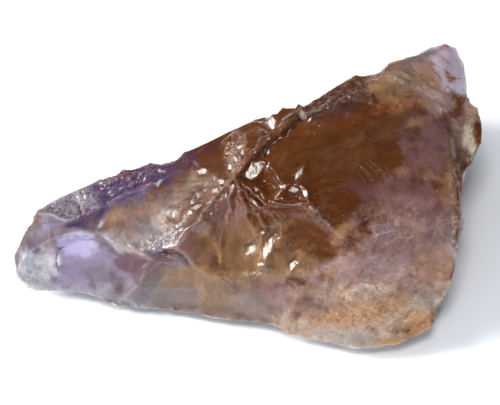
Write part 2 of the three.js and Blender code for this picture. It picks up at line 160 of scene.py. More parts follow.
# Ridges and grooves on the fracture faces. Each follows pixels of the photo, and has a width in pixels and a
# height in millimetres. A groove's height is negative.
CARVED = (
    ("rod from the hub", ((236, 175), (247, 160), (260, 145), (278, 131), (297, 114)), 3.2, 0.24),
    ("rod's upper strand", ((241, 163), (253, 149), (270, 133), (294, 113)), 1.2, 0.12),
    ("rod's lower strand", ((246, 165), (262, 147), (281, 134), (298, 118)), 1.2, 0.12),
    ("rod's cross folds", ((262, 139), (270, 143), (275, 140)), 1.2, -0.08),
    ("groove left of the rod", ((238, 166), (254, 146), (271, 130), (288, 117)), 2.2, -0.18),
    ("groove right of the rod", ((249, 166), (264, 150), (283, 136), (300, 120)), 2.0, -0.2),
    ("chipped line beside the rod", ((268, 152), (276, 141), (286, 136), (296, 121)), 1.4, 0.16),
    ("upper strand", ((239, 177), (247, 183), (253, 194), (272, 206)), 1.8, 0.28),
    ("under the upper strand", ((240, 182), (247, 191), (257, 201), (268, 208)), 1.6, -0.25),
    ("lower strand", ((240, 183), (247, 196), (258, 206), (272, 211)), 1.7, 0.26),
    ("under the lower strand", ((238, 187), (245, 200), (256, 211)), 1.6, -0.2),
    ("hub's first hackle", ((234, 181), (230, 191), (229, 205), (226, 227)), 1.8, 0.22),
    ("beside the first hackle", ((236, 184), (234, 196), (233, 212)), 1.8, -0.18),
    ("hub's second hackle", ((238, 184), (240, 196), (246, 212), (254, 232)), 1.8, 0.22),
    ("beside the second hackle", ((242, 190), (249, 206), (258, 222)), 2.0, -0.16),
    ("third hackle", ((245, 200), (255, 214), (268, 226), (280, 232)), 2.0, 0.16),
    ("left strand", ((233, 179), (224, 184), (218, 192), (212, 200)), 2.0, 0.2),
    ("under the left strand", ((230, 186), (222, 194), (214, 206)), 2.0, -0.2),
    ("edge of the scoop", ((262, 158), (267, 163), (272, 171), (276, 179), (284, 187)), 1.3, -0.09),
    ("rim of the flake", ((284, 190), (290, 185), (298, 184), (304, 189), (308, 198)), 1.6, 0.26),
    ("inside the flake", ((288, 195), (295, 191), (301, 195)), 2.2, -0.22),
    ("foot of the flake", ((270, 202), (280, 205), (292, 204), (309, 203)), 1.6, 0.24),
    ("under the flake's foot", ((272, 209), (290, 209), (308, 208)), 2.0, -0.14),
    ("edge below the flake", ((309, 203), (316, 213), (324, 220), (333, 228)), 2.0, 0.2),
    ("beside that edge", ((306, 212), (315, 222), (326, 232)), 2.5, -0.05),
    ("swell under that edge", ((298, 244), (316, 250), (334, 254), (350, 252)), 12, 0.16),
    ("wing's edge", ((222, 199), (213, 202), (206, 208), (200, 220), (186, 231), (181, 240)), 1.8, 0.15),
    ("beside the wing's edge", ((219, 206), (210, 213), (205, 224)), 2.2, -0.14),
    ("long hackle", ((222, 226), (221, 246), (222, 268)), 2.0, 0.12),
    ("hackle of the ledge", ((208, 232), (216, 250), (220, 262)), 2.0, -0.1),
    ("upper line of the slope", ((190, 204), (196, 196), (203, 190)), 1.6, 0.18),
    ("lower line of the slope", ((183, 218), (192, 208), (202, 202)), 1.6, 0.16),
    ("rim of the tip's shell", ((40, 213), (52, 214), (60, 219), (70, 221), (80, 217), (93, 200)), 1.6, 0.15),
    ("fold of the tip's shell", ((72, 196), (77, 204), (82, 216)), 2.0, -0.3),
    ("line under the band", ((93, 214), (118, 197), (146, 188), (160, 178)), 1.8, 0.08),
    ("line above the band", ((96, 184), (120, 177), (150, 172), (176, 168)), 2.0, 0.2),
    ("groove in the band", ((100, 200), (125, 188), (150, 179)), 2.4, -0.2),
    ("rim of the window", ((46, 242), (77, 233), (100, 234), (119, 243), (135, 251), (152, 259)), 2.2, 0.2),
    ("under that rim", ((60, 244), (80, 240), (100, 241), (118, 250)), 3.0, -0.14),
    ("crack at the tip", ((58, 249), (55, 258), (57, 272)), 1.2, -0.2),
    ("notch under the slope", ((159, 252), (172, 253), (182, 257), (191, 266)), 2.0, -0.3),
    ("first ripple", ((160, 263), (170, 258), (180, 262), (187, 270)), 1.3, 0.08),
    ("second ripple", ((161, 268), (170, 263), (178, 267), (183, 273)), 1.3, 0.08),
    ("seam of the main face", ((303, 122), (316, 112), (330, 101), (345, 92), (356, 88)), 2.0, 0.22),
    ("under the tan face", ((356, 110), (375, 114), (392, 110), (405, 102)), 1.8, -0.18),
    ("left of the tan face", ((370, 88), (372, 98), (374, 106)), 1.8, 0.18),
    ("fold below the lump", ((398, 72), (410, 84), (424, 94), (444, 103)), 2.2, -0.12),
    ("fold on the lump", ((420, 62), (432, 74), (441, 88), (446, 97)), 2.2, -0.08),
    ("right end's fold", ((436, 104), (452, 118), (463, 134)), 2.2, 0.2),
    ("lobe", ((342, 299), (358, 292), (376, 295)), 9.0, 0.3),
    ("seam above the lobe", ((336, 294), (350, 285), (364, 281), (380, 285), (389, 293)), 1.6, -0.07),
    ("long seam of the rind", ((272, 278), (296, 284), (318, 292), (344, 298)), 2.4, 0.04),
    ("first wisp", ((372, 239), (384, 233), (397, 229)), 1.3, 0.12),
    ("second wisp", ((436, 228), (440, 234), (444, 240)), 1.3, 0.12),
    ("corner's fold", ((398, 322), (412, 312), (430, 304), (444, 298)), 2.2, -0.05),
)

# Small flake scars that throw the light at the eye, which are the photo's bright highlights. Each is an
# ellipse like the zones', with how deep it is cupped, in millimetres.
SCARS = (
    ("scoop", (253, 171), (13.5, 7.5), 50, 0.11),
    ("first above the hub", (239, 147), (3, 2.2), 20, 0.03),
    ("second above the hub", (243, 153), (1.6, 2.6), 0, 0.03),
    ("third above the hub", (236, 160), (2, 2.5), 0, 0.03),
    ("fourth above the hub", (231, 168), (1.8, 3.4), -20, 0.03),
    ("beside the rod", (267, 152), (3.6, 2), 45, 0.03),
    ("higher beside the rod", (280, 137), (2.4, 1.6), 30, 0.02),
    ("rod's end", (301, 113), (3.5, 4), 0, 0.03),
    ("left of the rod", (271, 123), (6, 3.5), 35, 0.05),
    ("below the hub", (233, 187), (2, 4.5), -14, 0.03),
    ("left of the hub", (222, 182), (3, 3), 0, 0.03),
    ("first on the left strand", (217, 192), (4, 3), 30, 0.05),
    ("second on the left strand", (203, 172), (4.5, 2.5), 30, 0.04),
    ("on the lower strand", (254, 202), (7, 1.8), -40, 0.03),
    ("flake's face", (295, 189), (6.5, 3.6), 15, 0.05),
    ("flake's side", (304, 194), (1.4, 3.5), 25, 0.02),
    ("flake's foot", (289, 201.5), (6, 1.1), 0, 0.02),
    ("above the flake", (299, 174), (2.8, 9), -32, 0.03),
    ("crack's end", (283, 187), (2, 3), 40, 0.03),
    ("fan's tall scar", (268, 248), (5.5, 17), -18, 0.03),
    ("fan's small scar", (262, 232), (2.2, 4), -10, 0.02),
    ("fan's ribbed scar", (252, 248), (4.2, 8), -35, 0.1),
    ("foot of the tall scar", (263, 262), (4, 3), 0, 0.03),
    ("fan's right scar", (292, 266), (2.8, 9), -24, 0.02),
    ("slope's bright scar", (173, 215), (6, 5), 0, 0.08),
    ("slope's second scar", (178, 226), (3.5, 2.2), 20, 0.04),
    ("slope's foot", (166, 247), (9, 2.0), 8, 0.05),
    ("orange corner", (410, 332), (2, 1.6), 30, 0.02),
    ("tan face's edge", (373, 98), (1.1, 2.2), 0, 0.02),
    ("glint of the seam", (440, 112), (1.2, 2.0), 0, 0.02),
)


class Carving:
    """Moves the points of the stone along their normals, where the photo's eye sees them."""

    def __init__(self, stone):
        self.mesh = stone.data
        self.points = places_of(stone.data)
        self.normals = normals_of(stone.data)
        self.pixels = pixels_of(self.points)
        tree = BVHTree.FromObject(stone, bpy.context.evaluated_depsgraph_get())
        starts = self.points + self.normals * RAY_START
        hidden = np.array([tree.ray_cast(start, TO_EYE)[0] is not None for start in starts])
        towards_eye = self.normals @ TO_EYE
        self.facing = np.clip(towards_eye * FACING_GAIN, 0, 1) * ~hidden
        self.scarrable = np.clip(towards_eye * FACING_GAIN - SCARS_BEGIN, 0, 1) * ~hidden
        self.facing_away = np.clip(-towards_eye * FACING_GAIN, 0, 1)
        self.at_outline = np.exp(-((towards_eye / OUTLINE_WIDTH) ** 2)) * ~hidden
        self.strayed = self.pixels + MARK_STRAY * stray_at(self.points, MARK_LUMPS, (61, 72))

    def lift(self, heights):
        self.points += self.normals * heights[:, None]

    def carve(self, path, width, height):
        """A ridge with a round top along the path, which thins out towards both ends."""
        path = np.array(path, float)
        lengths = np.linalg.norm(np.diff(path, axis=0), axis=1)
        before = np.concatenate(([0], np.cumsum(lengths)))
        nearest = np.full(len(self.points), np.inf)
        share = np.zeros(len(self.points))
        for i, length in enumerate(lengths):
            along = path[i + 1] - path[i]
            t = np.clip((self.strayed - path[i]) @ along / length**2, 0, 1)
            distance = np.linalg.norm(self.strayed - path[i] - t[:, None] * along, axis=1)
            closer = distance < nearest
            nearest[closer] = distance[closer]
            share[closer] = ((before[i] + t * length) / before[-1])[closer]
        fullness = np.clip(np.minimum(share, 1 - share) / RIDGE_ENDS, LOWEST_END, 1)
        self.lift(np.exp(-((nearest / width) ** 2)) * fullness * self.facing * height * MM)

    def scar(self, centre, radii, turn, cup):
        """Cuts a small cupped face that throws the nearer light at the eye, and returns where it lies."""
        wide = np.multiply(radii, SCAR_REACH)
        inside = patch(self.strayed, centre, wide, turn, SCAR_SOFTNESS) * self.scarrable
        weight = inside / inside.sum()
        middle = weight @ self.points
        normal = weight @ self.normals
        normal /= np.linalg.norm(normal)
        way = max((glossy_way(middle, light) for light in (KEY_PLACE, LAMP_PLACE)), key=normal.dot)
        away = self.points - middle
        across = np.linalg.norm(away, axis=1) / (max(radii) * PIXEL)
        heights = -away @ way / max(normal @ way, LEAST_COSINE) - cup * MM * np.clip(1 - across**2, 0, 1)
        self.points += normal * (inside * np.clip(heights, -DEEPEST_SCAR, DEEPEST_SCAR))[:, None]
        return inside

    def apply(self):
        """Gives the points back to the mesh, inside the box of the CAD stone."""
        low, high = (np.array(corner) for corner in CAD_BOX)
        self.points = np.clip(self.points, low + BOX_SLACK, high - BOX_SLACK)
        self.mesh.vertices.foreach_set("co", self.points.ravel())
        self.mesh.update()
        self.normals = normals_of(self.mesh)


def glossy_way(point, light):
    """The way that a face at the point has to look to throw the light at the eye."""
    to_light = np.array(light) - point
    to_eye = EYE - point
    way = to_light / np.linalg.norm(to_light) + to_eye / np.linalg.norm(to_eye)
    return way / np.linalg.norm(way)


def noise_at(points, size, seed, octaves=3, smoothness=1.0):
    """Noise from about -1 to 1 at each point, whose lumps are this many metres across."""
    shift = Vector((seed, seed * 1.7, -seed * 0.6))
    return np.array([
        noise.fractal(Vector(point) / size + shift, smoothness, 2.0, octaves, noise_basis="PERLIN_ORIGINAL")
        for point in points
    ])


def stray_at(points, size, seeds):
    """Noise for each of the photo's two directions, to let what is drawn there stray."""
    return np.column_stack([noise_at(points, size, seed) for seed in seeds])


def chipped_at(points, size, seed):
    """The height of small flat facets of this size, each turned its own way, as on a sugary surface."""
    shift = Vector((seed, -seed, seed * 0.5))
    cell_middle = Vector((0.5, 0.5, 0.5))
    heights = np.empty(len(points))
    for i, point in enumerate(points):
        scaled = Vector(point) / size + shift
        middle = noise.voronoi(scaled)[1][0]
        heights[i] = (scaled - middle).dot(noise.cell_vector(middle * 5.3) - cell_middle)
    return heights


def sharpness_of(mesh):
    """How far each corner stands out over its neighbours, for their distance: below 0 in a groove."""
    points, normals = places_of(mesh), normals_of(mesh)
    ends = np.empty(len(mesh.edges) * 2, dtype=int)
    mesh.edges.foreach_get("vertices", ends)
    first, second = ends.reshape(-1, 2).T
    steps = points[second] - points[first]
    lengths = np.linalg.norm(steps, axis=1)
    total = np.zeros_like(points)
    reach = np.zeros(len(points))
    for here, sign in ((first, 1), (second, -1)):
        np.add.at(total, here, sign * steps)
        np.add.at(reach, here, lengths)
    return -np.einsum("ij,ij->i", total, normals) / reach


def patch(pixels, centre, radii, turn=0.0, softness=0.5):
    """1 inside an ellipse of the photo, turned anticlockwise by so many degrees, and 0 outside."""
    c, s = cos(radians(turn)), sin(radians(turn))
    away = pixels - np.array(centre)
    along = (away[:, 0] * c - away[:, 1] * s) / radii[0]
    across = (away[:, 0] * s + away[:, 1] * c) / radii[1]
    t = np.clip((1 + softness / 2 - np.hypot(along, across)) / softness, 0, 1)
    return t * t * (3 - 2 * t)


def zones_at(zones, pixels, softness=0.5):
    """The strength of the zones at each of the pixels."""
    strength = np.zeros(len(pixels))
    for _, centre, radii, turn, amount in zones:
        strength = np.maximum(strength, amount * patch(pixels, centre, radii, turn, softness))
    return strength


def flow_at(pixels):
    """How the fracture fanned out from the hub: the angle round it, and the logarithm of the way from it."""
    away = pixels - HUB
    angle = np.arctan2(away[:, 0], away[:, 1])
    way = np.log(np.linalg.norm(away, axis=1) + HUB_RADIUS)
    return np.column_stack((angle, way, np.zeros(len(pixels))))


# Where the surface is sugary.
SUGARY = (
    ("band under the crest", (112, 190), (76, 15), 24, 0.8),
    ("end of the band", (58, 212), (28, 14), 20, 0.7),
    ("sparkling patch on the slope", (174, 220), (14, 17), -20, 0.5),
    ("sparkling foot of the slope", (163, 243), (22, 8), 12, 0.6),
    ("above the hub", (237, 153), (10, 20), -5, 0.8),
    ("hub's left side", (212, 190), (16, 12), 40, 0.5),
    ("strip under the crest", (345, 92), (48, 9), 24, 0.8),
    ("lump's foot", (395, 90), (24, 12), -28, 0.6),
    ("tip", (34, 268), (22, 24), 0, 0.5),
    ("lobe", (358, 300), (36, 14), 4, 0.7),
    ("rind", (345, 318), (66, 20), 8, 0.7),
    ("rind's right end", (412, 318), (24, 24), 30, 0.6),
    ("rim over the foot", (258, 274), (16, 4), 0, 0.6),
    ("thick end's edge", (457, 205), (7, 42), 4, 0.8),
    ("thick end's pale side", (466, 130), (12, 26), 8, 0.5),
    ("edge below the flake", (322, 218), (12, 8), -40, 0.5),
)

# Where the surface is dull.
DULL = (
    ("slope", (140, 218), (50, 32), 22, 0.5),
    ("top of the tip", (34, 228), (24, 24), 0, 1.3),
    ("tip's left edge", (16, 256), (10, 24), 0, 1.3),
    ("thick end's foot", (440, 262), (24, 40), 0, 0.8),
    ("rind", (350, 322), (90, 26), 4, 0.6),
    ("left strand", (209, 184), (20, 18), 0, 0.5),
    ("rod's end", (301, 113), (8, 8), 0, 0.5),
    ("fan's ribbed scar", (252, 248), (8, 11), -35, 1.0),
    ("above the flake", (299, 174), (5, 10), -32, 0.4),
)

# Where the surface is crushed into small facets that glitter.
CRUSHED = (
    ("above the hub", (236, 150), (10, 17), -8, 1.0),
    ("beside the rod", (267, 150), (5, 11), -35, 0.7),
    ("left of the rod", (262, 126), (10, 7), 30, 0.6),
    ("left of the hub", (222, 190), (9, 8), 40, 0.6),
    ("foot of the fan", (262, 272), (14, 3.5), 4, 0.9),
    ("fan's right", (291, 243), (9, 5), 0, 0.4),
    ("edge below the flake", (322, 217), (10, 4), -45, 0.8),
    ("strip under the crest", (345, 92), (44, 6), 27, 0.7),
    ("crust under the lump", (412, 88), (22, 5), -26, 0.6),
    ("lump's seam", (444, 110), (14, 6), -40, 0.4),
    ("pale side", (469, 125), (8, 22), 8, 0.5),
    ("brown side", (457, 195), (5, 34), 2, 0.6),
    ("lobe", (362, 291), (18, 8), 6, 0.6),
    ("orange corner", (408, 328), (16, 10), 30, 0.2),
    ("rind", (350, 316), (46, 9), 4, 0.35),
    ("tip's shell", (74, 205), (24, 13), 16, 1.0),
    ("tip's top", (32, 222), (12, 18), -40, 0.25),
    ("tip's foot", (34, 272), (18, 12), 0, 0.35),
    ("band", (130, 180), (60, 9), 24, 0.4),
    ("slope's foot", (164, 243), (22, 6), 10, 0.6),
    ("middle of the slope", (174, 216), (14, 12), 0, 0.35),
)

# Edges that are chipped all along: their pixels, their width in pixels, and how badly.
RUGGED = (
    ("crest of the narrow end", (
        (16, 262), (18, 236), (34, 209), (60, 190), (88, 177), (120, 168), (150, 163),
        (185, 158), (210, 145), (237, 131), (262, 120), (285, 112), (310, 103),
    ), 7, 0.2),
    ("crest", ((318, 97), (330, 87), (352, 76), (375, 66), (398, 58), (430, 46)), 7, 1.0),
    ("right end", (
        (466, 96), (478, 112), (481, 128), (474, 150), (462, 160), (459, 200), (458, 260), (448, 295),
    ), 5, 1.0),
    ("lower edge", (
        (18, 285), (60, 291), (93, 296), (120, 306), (165, 311),
        (200, 315), (250, 326), (290, 333), (320, 345),
    ), 4, 1.0),
)


def rugged_at(pixels):
    """How badly the edges are chipped at each of the pixels."""
    return np.max([
        amount * np.exp(-((distance_to(path, pixels) / width) ** 2)) for _, path, width, amount in RUGGED
    ], axis=0)


# Where hackles run out from the hub.
HACKLED = (
    ("fan below the hub", (244, 222), (46, 42), 0, 0.7),
    ("right of the fan", (300, 250), (40, 30), 0, 0.25),
    ("slope", (186, 206), (34, 26), 30, 0.6),
    ("above the hub", (240, 150), (26, 26), 0, 0.6),
    ("main face", (345, 190), (90, 70), 0, 0.2),
)

# Where the blows landed that split off the sides that the photo does not show: the place, how far the
# ripples of the blow run, and how far apart they are, all in millimetres. They wander by this share of that.
BLOWS = (
    ("back", (6.0, 7.0, 15.0), 14.0, 1.9),
    ("back of the narrow end", (-9.4, 1.5, 10.0), 9.0, 1.4),
    ("thick end", (21.5, 8.0, 12.0), 11.0, 1.5),
)
RIPPLE_STRAY = 0.6


def ripples_at(points):
    """The height of the ripples round the blows, from -1 to 1."""
    height = np.zeros(len(points))
    stray = RIPPLE_STRAY * noise_at(points, 4 * MM, seed=91, octaves=2)
    for _, place, reach, spacing in BLOWS:
        away = np.linalg.norm(points / MM - np.array(place), axis=1)
        height += np.sin(2 * pi * (away / spacing + stray)) * np.clip(1 - away / reach, 0, 1)
    return height


# Where pale threads run through the quartz.
VEILED = (
    ("thick end", (400, 245), (58, 46), 0, 1.0),
    ("main face", (330, 215), (38, 24), 0, 0.15),
    ("slope", (128, 226), (40, 22), 24, 0.6),
    ("window", (110, 268), (52, 22), -8, 0.1),
    ("lower front", (330, 282), (56, 18), 0, 0.8),
    ("lump", (425, 78), (34, 24), 0, 0.5),
)

# Where the colour is even.
CALM = (
    ("window", (104, 266), (58, 27), -8, 0.85),
    ("band", (120, 192), (80, 17), 24, 0.7),
    ("tip's shell", (66, 210), (34, 18), 16, 0.5),
    ("lower strip", (200, 304), (90, 12), -8, 0.6),
    ("rind's pale foot", (330, 335), (60, 12), -6, 0.6),
    ("tip", (40, 264), (22, 22), 0, 0.7),
    ("lump", (446, 64), (22, 22), 0, 0.4),
    ("main face", (330, 160), (70, 56), 0, 0.3),
)

# The fields that the relief and the material read: the zones of each, how many pixels their edges stray, and
# how soft their edges are.
ZONE_FIELDS = {
    "sugar": (SUGARY, 5, 0.5),
    "hackles": (HACKLED, 5, 0.5),
    "crushed": (CRUSHED, 4, 0.9),
    "veil": (VEILED, 5, 0.5),
    "calm": (CALM, 5, 0.9),
    "dull": (DULL, 3, 0.9),
}

# How crushed the sugary zones are at least, for their strength.
CRUSHED_SUGAR = 0.3

# How the hackles' lumps are drawn out along the flow.
HACKLE_LUMPS = (9, 3, 1)

# The pools' edges: how soft they are, how many pixels they stray, and how strongly they fray into wisps of
# this size, which are of as many kinds as there are seeds.
POOL_SOFTNESS = 1.2
POOL_STRAY = 7
WISP_GAIN = 2.6
WISP_SIZE = 1.5 * MM
WISP_SEEDS = (41, 52, 63, 74, 85)

# Pools of colour in the stone, and of painted glow, highlight and shade, each laid over the ones before it:
# the middle and the radii in pixels, the turn in degrees, the colour's name, and how strong.
POOLS = (
    ("upper left of the main face", (330, 125), (60, 28), 30, "tawny", 0.6),
    ("dark corner of the main face", (332, 112), (34, 12), 30, "maroon", 0.95),
    ("right of the main face's middle", (395, 150), (44, 26), 10, "tawny", 0.8),
    ("glow in the main face", (300, 150), (40, 24), 40, "tawny", 0.9),
    ("narrow end", (85, 235), (110, 75), 10, "violet", 1.0),
    ("slope", (165, 212), (62, 26), 24, "tan", 0.85),
    ("upper slope", (203, 177), (24, 16), 30, "tan", 0.85),
    ("lilac foot of the slope", (150, 236), (34, 14), 10, "lilac_grey", 0.7),
    ("amber spot of the slope", (116, 222), (13, 11), 0, "amber", 0.7),
    ("left of the hub", (212, 158), (24, 16), 0, "tawny", 0.8),
    ("streak above the hub", (236, 152), (8, 17), -8, "bone", 0.25),
    ("wing", (196, 246), (20, 20), 0, "plum", 0.9),
    ("fan below the hub", (240, 243), (44, 32), 0, "chestnut", 0.95),
    ("upper fan", (256, 212), (22, 18), -30, "brown", 0.75),
    ("lilac of the fan", (226, 214), (16, 20), 0, "plum", 0.75),
    ("right of the fan", (300, 225), (44, 22), 0, "umber", 0.5),
    ("golden front", (286, 265), (60, 17), 0, "chestnut", 0.9),
    ("crumbs at the fan's foot", (262, 277), (58, 7), 2, "sand", 0.5),
    ("lower strip", (220, 304), (105, 20), -8, "smoke", 0.95),
    ("amber ledge", (200, 278), (46, 9), -4, "amber", 0.85),
    ("lilac end of the strip", (160, 296), (34, 16), -8, "lilac_grey", 0.6),
    ("rippled lilac", (172, 263), (18, 8), 10, "lilac_grey", 0.75),
    ("lilac strip", (285, 298), (40, 12), -14, "plum", 0.65),
    ("amber wedge", (214, 296), (18, 14), 0, "amber", 0.75),
    ("band under the crest", (125, 190), (76, 14), 24, "deep_violet", 0.95),
    ("band's end", (60, 212), (28, 12), 20, "grey_violet", 0.9),
    ("sparkling top of the band's end", (82, 200), (13, 10), 0, "frost", 0.25),
    ("under the band's end", (74, 226), (26, 7), 4, "deep_violet", 0.4),
    ("window", (88, 269), (41, 26), 0, "lilac", 0.85),
    ("foot of the window", (110, 279), (18, 11), -10, "lilac_grey", 0.55),
    ("plum in the window", (135, 262), (22, 13), -20, "mulberry", 0.9),
    # Painted glow of light that comes through the thin window.
    ("painted glow of the window", (76, 248), (23, 11), 5, "pale_lavender", 0.85),
    # Pale frost along the window's rim: partly a pale layer, partly a painted highlight.
    ("rim of the window", (80, 236), (40, 4), 2, "frost", 0.45),
    ("right end of that rim", (124, 245), (20, 3), -26, "frost", 0.5),
    ("lavender streak above the window", (52, 230), (16, 5), 20, "lilac", 0.6),
    ("tip", (38, 268), (18, 16), 0, "frost", 0.75),
    # Painted shade along the tip's outline.
    ("tip's rim in painted shade", (16, 252), (6, 20), -14, "slate", 0.9),
    ("tip's brown edge", (25, 226), (9, 28), -36, "umber", 0.95),
    ("dusty top of the main face", (392, 125), (42, 12), 14, "tan", 0.35),
    ("dusty middle of the main face", (345, 160), (30, 16), 30, "chestnut", 0.12),
    ("main face's right", (430, 145), (26, 28), 0, "plum", 0.9),
    ("main face's lower right", (410, 196), (34, 24), 0, "plum", 0.75),
    ("violet of the main face", (435, 134), (13, 17), 10, "mulberry", 0.75),
    ("second violet of the main face", (364, 190), (17, 8), -5, "mulberry", 0.4),
    ("streak on the main face", (418, 124), (13, 4), 20, "tan_rose", 0.6),
    ("first tan spot of the main face", (402, 172), (9, 6), 20, "tan_rose", 0.6),
    ("second tan spot of the main face", (431, 174), (9, 6), -10, "tan_rose", 0.6),
    ("third tan spot of the main face", (384, 186), (10, 4), 30, "tan", 0.3),
    ("thick end's foot", (410, 250), (50, 40), 0, "mauve", 0.8),
    ("plum above the thick end's foot", (414, 204), (38, 17), 0, "plum", 0.65),
    ("lower front", (358, 270), (44, 16), 0, "mauve", 0.9),
    ("lilac of the lower front", (376, 264), (24, 10), 10, "lilac", 0.22),
    ("lilac of the thick end", (384, 240), (18, 12), 20, "mulberry", 0.35),
    ("plum of the thick end", (436, 243), (15, 10), 0, "plum", 0.5),
    ("amber edge", (436, 262), (16, 12), 0, "chestnut", 0.7),
    ("thick end's dusty edge", (452, 196), (8, 46), 2, "tan_rose", 0.7),
    ("thick end's brown edge", (459, 192), (2.5, 24), 2, "brown", 0.45),
    ("thick end's lilac edge", (451, 230), (6, 26), 4, "lilac_grey", 0.65),
    ("round the lump", (442, 72), (32, 30), 0, "mauve", 0.8),
    ("lump", (451, 66), (26, 30), 0, "lavender", 0.75),
    ("folds of the lump", (428, 80), (22, 8), -40, "tan_rose", 0.6),
    ("lump's foot", (410, 88), (34, 10), -34, "sand", 0.6),
    ("left of the lump", (402, 74), (36, 13), 30, "clay", 0.55),
    ("upper left of the lump", (418, 60), (18, 9), 24, "lilac_grey", 0.75),
    ("sparkling patch left of the lump", (374, 82), (12, 6), 24, "clay", 0.4),
    ("strip under the crest", (328, 102), (34, 8), 28, "dark_umber", 0.9),
    ("crest above the rod", (262, 126), (24, 7), 28, "umber", 0.5),
    ("tan face", (388, 95), (19, 12), -12, "amber", 0.8),
    ("crust above the tan face", (405, 84), (16, 5), -24, "sand", 0.45),
    ("lilac of the seam", (446, 106), (16, 8), 20, "mauve", 0.7),
    ("stain on the lump", (451, 76), (6, 4), -30, "rust", 0.9),
    ("stain on the lump's top", (446, 48), (7, 3), -10, "rust", 0.6),
    ("dust on the lump", (434, 82), (16, 5), -45, "orange", 0.4),
    ("orange side", (456, 148), (8, 16), 6, "tan", 0.8),
    ("pale side", (466, 130), (10, 26), 6, "clay", 0.7),
    ("cream of the pale side", (470, 142), (6, 15), 5, "cream", 0.95),
    ("crust of the pale side", (469, 114), (5, 12), 10, "sand", 0.7),
    ("left of the lobe", (318, 292), (26, 10), 8, "clay", 0.8),
    ("lobe", (358, 298), (34, 12), 4, "sand", 0.7),
    ("top of the lobe", (362, 292), (22, 8), 6, "cream", 0.25),
    ("pale tan of the corner", (414, 306), (20, 12), 30, "clay", 0.6),
    ("rind's pale foot", (346, 338), (60, 14), -6, "bone", 0.9),
    ("rind's right end", (405, 308), (44, 18), 24, "sand", 0.8),
    ("rind", (345, 318), (62, 14), 6, "sand", 0.85),
    ("orange rind", (360, 313), (44, 10), 14, "orange", 0.9),
    ("rind's left", (325, 318), (16, 5), -20, "orange", 0.6),
    ("grey of the corner", (430, 298), (14, 10), 40, "bone", 0.5),
    ("orange corner", (422, 322), (14, 14), 40, "orange", 0.85),
    ("orange foot", (392, 340), (18, 5), 8, "orange", 0.85),
    ("veil in the main face", (346, 227), (11, 6), 10, "orange", 0.85),
    ("veil's tail", (338, 236), (9, 6), 40, "orange", 0.5),
)

# Thin coloured lines, two of them painted shade: their pixels, their width in pixels, the colour's name, and
# how strong. Their edges stray by so many pixels.
LINE_STRAY = 1.5
LINES = (
    ("rod", ((236, 175), (247, 160), (260, 145), (278, 131), (297, 114)), 3.0, "tan", 0.35),
    ("rusty crack", ((392, 111), (406, 104), (416, 100), (424, 105)), 4.0, "orange", 0.6),
    ("rust of that crack", ((373, 114), (385, 111), (397, 109), (406, 103), (416, 100)), 1.3, "rust", 0.8),
    ("amber thread of the fan", ((205, 232), (214, 246), (220, 262)), 2.0, "orange", 0.6),
    ("pale rim of the slope", ((119, 243), (135, 250), (152, 259)), 1.8, "sand", 0.6),
    ("lilac rim of the lobe", ((352, 290), (362, 285), (374, 288)), 2.0, "frost", 0.35),
    ("grey foot of the narrow end", (
        (26, 281), (60, 289), (95, 292), (120, 299), (150, 306),
    ), 6.0, "grey", 0.8),
    ("dark streak over the tip", (
        (30, 243), (44, 237), (62, 230), (84, 224), (98, 219),
    ), 6.5, "deep_violet", 0.5),
    ("pale edge of the corner", ((449, 289), (442, 300), (434, 306)), 2.5, "bone", 0.5),
    # Painted contact shadow along the lower edge.
    ("painted contact shadow of the lower edge", (
        (93, 296), (120, 307), (165, 312), (200, 316), (226, 322), (258, 329), (300, 342), (320, 346),
    ), 1.8, "slate", 0.75),
    # Painted shade along the tip's outline.
    ("painted shade along the tip's outline", (
        (46, 200), (34, 209), (20, 234), (13, 252), (18, 278), (32, 288),
    ), 3.6, "slate", 0.75),
)

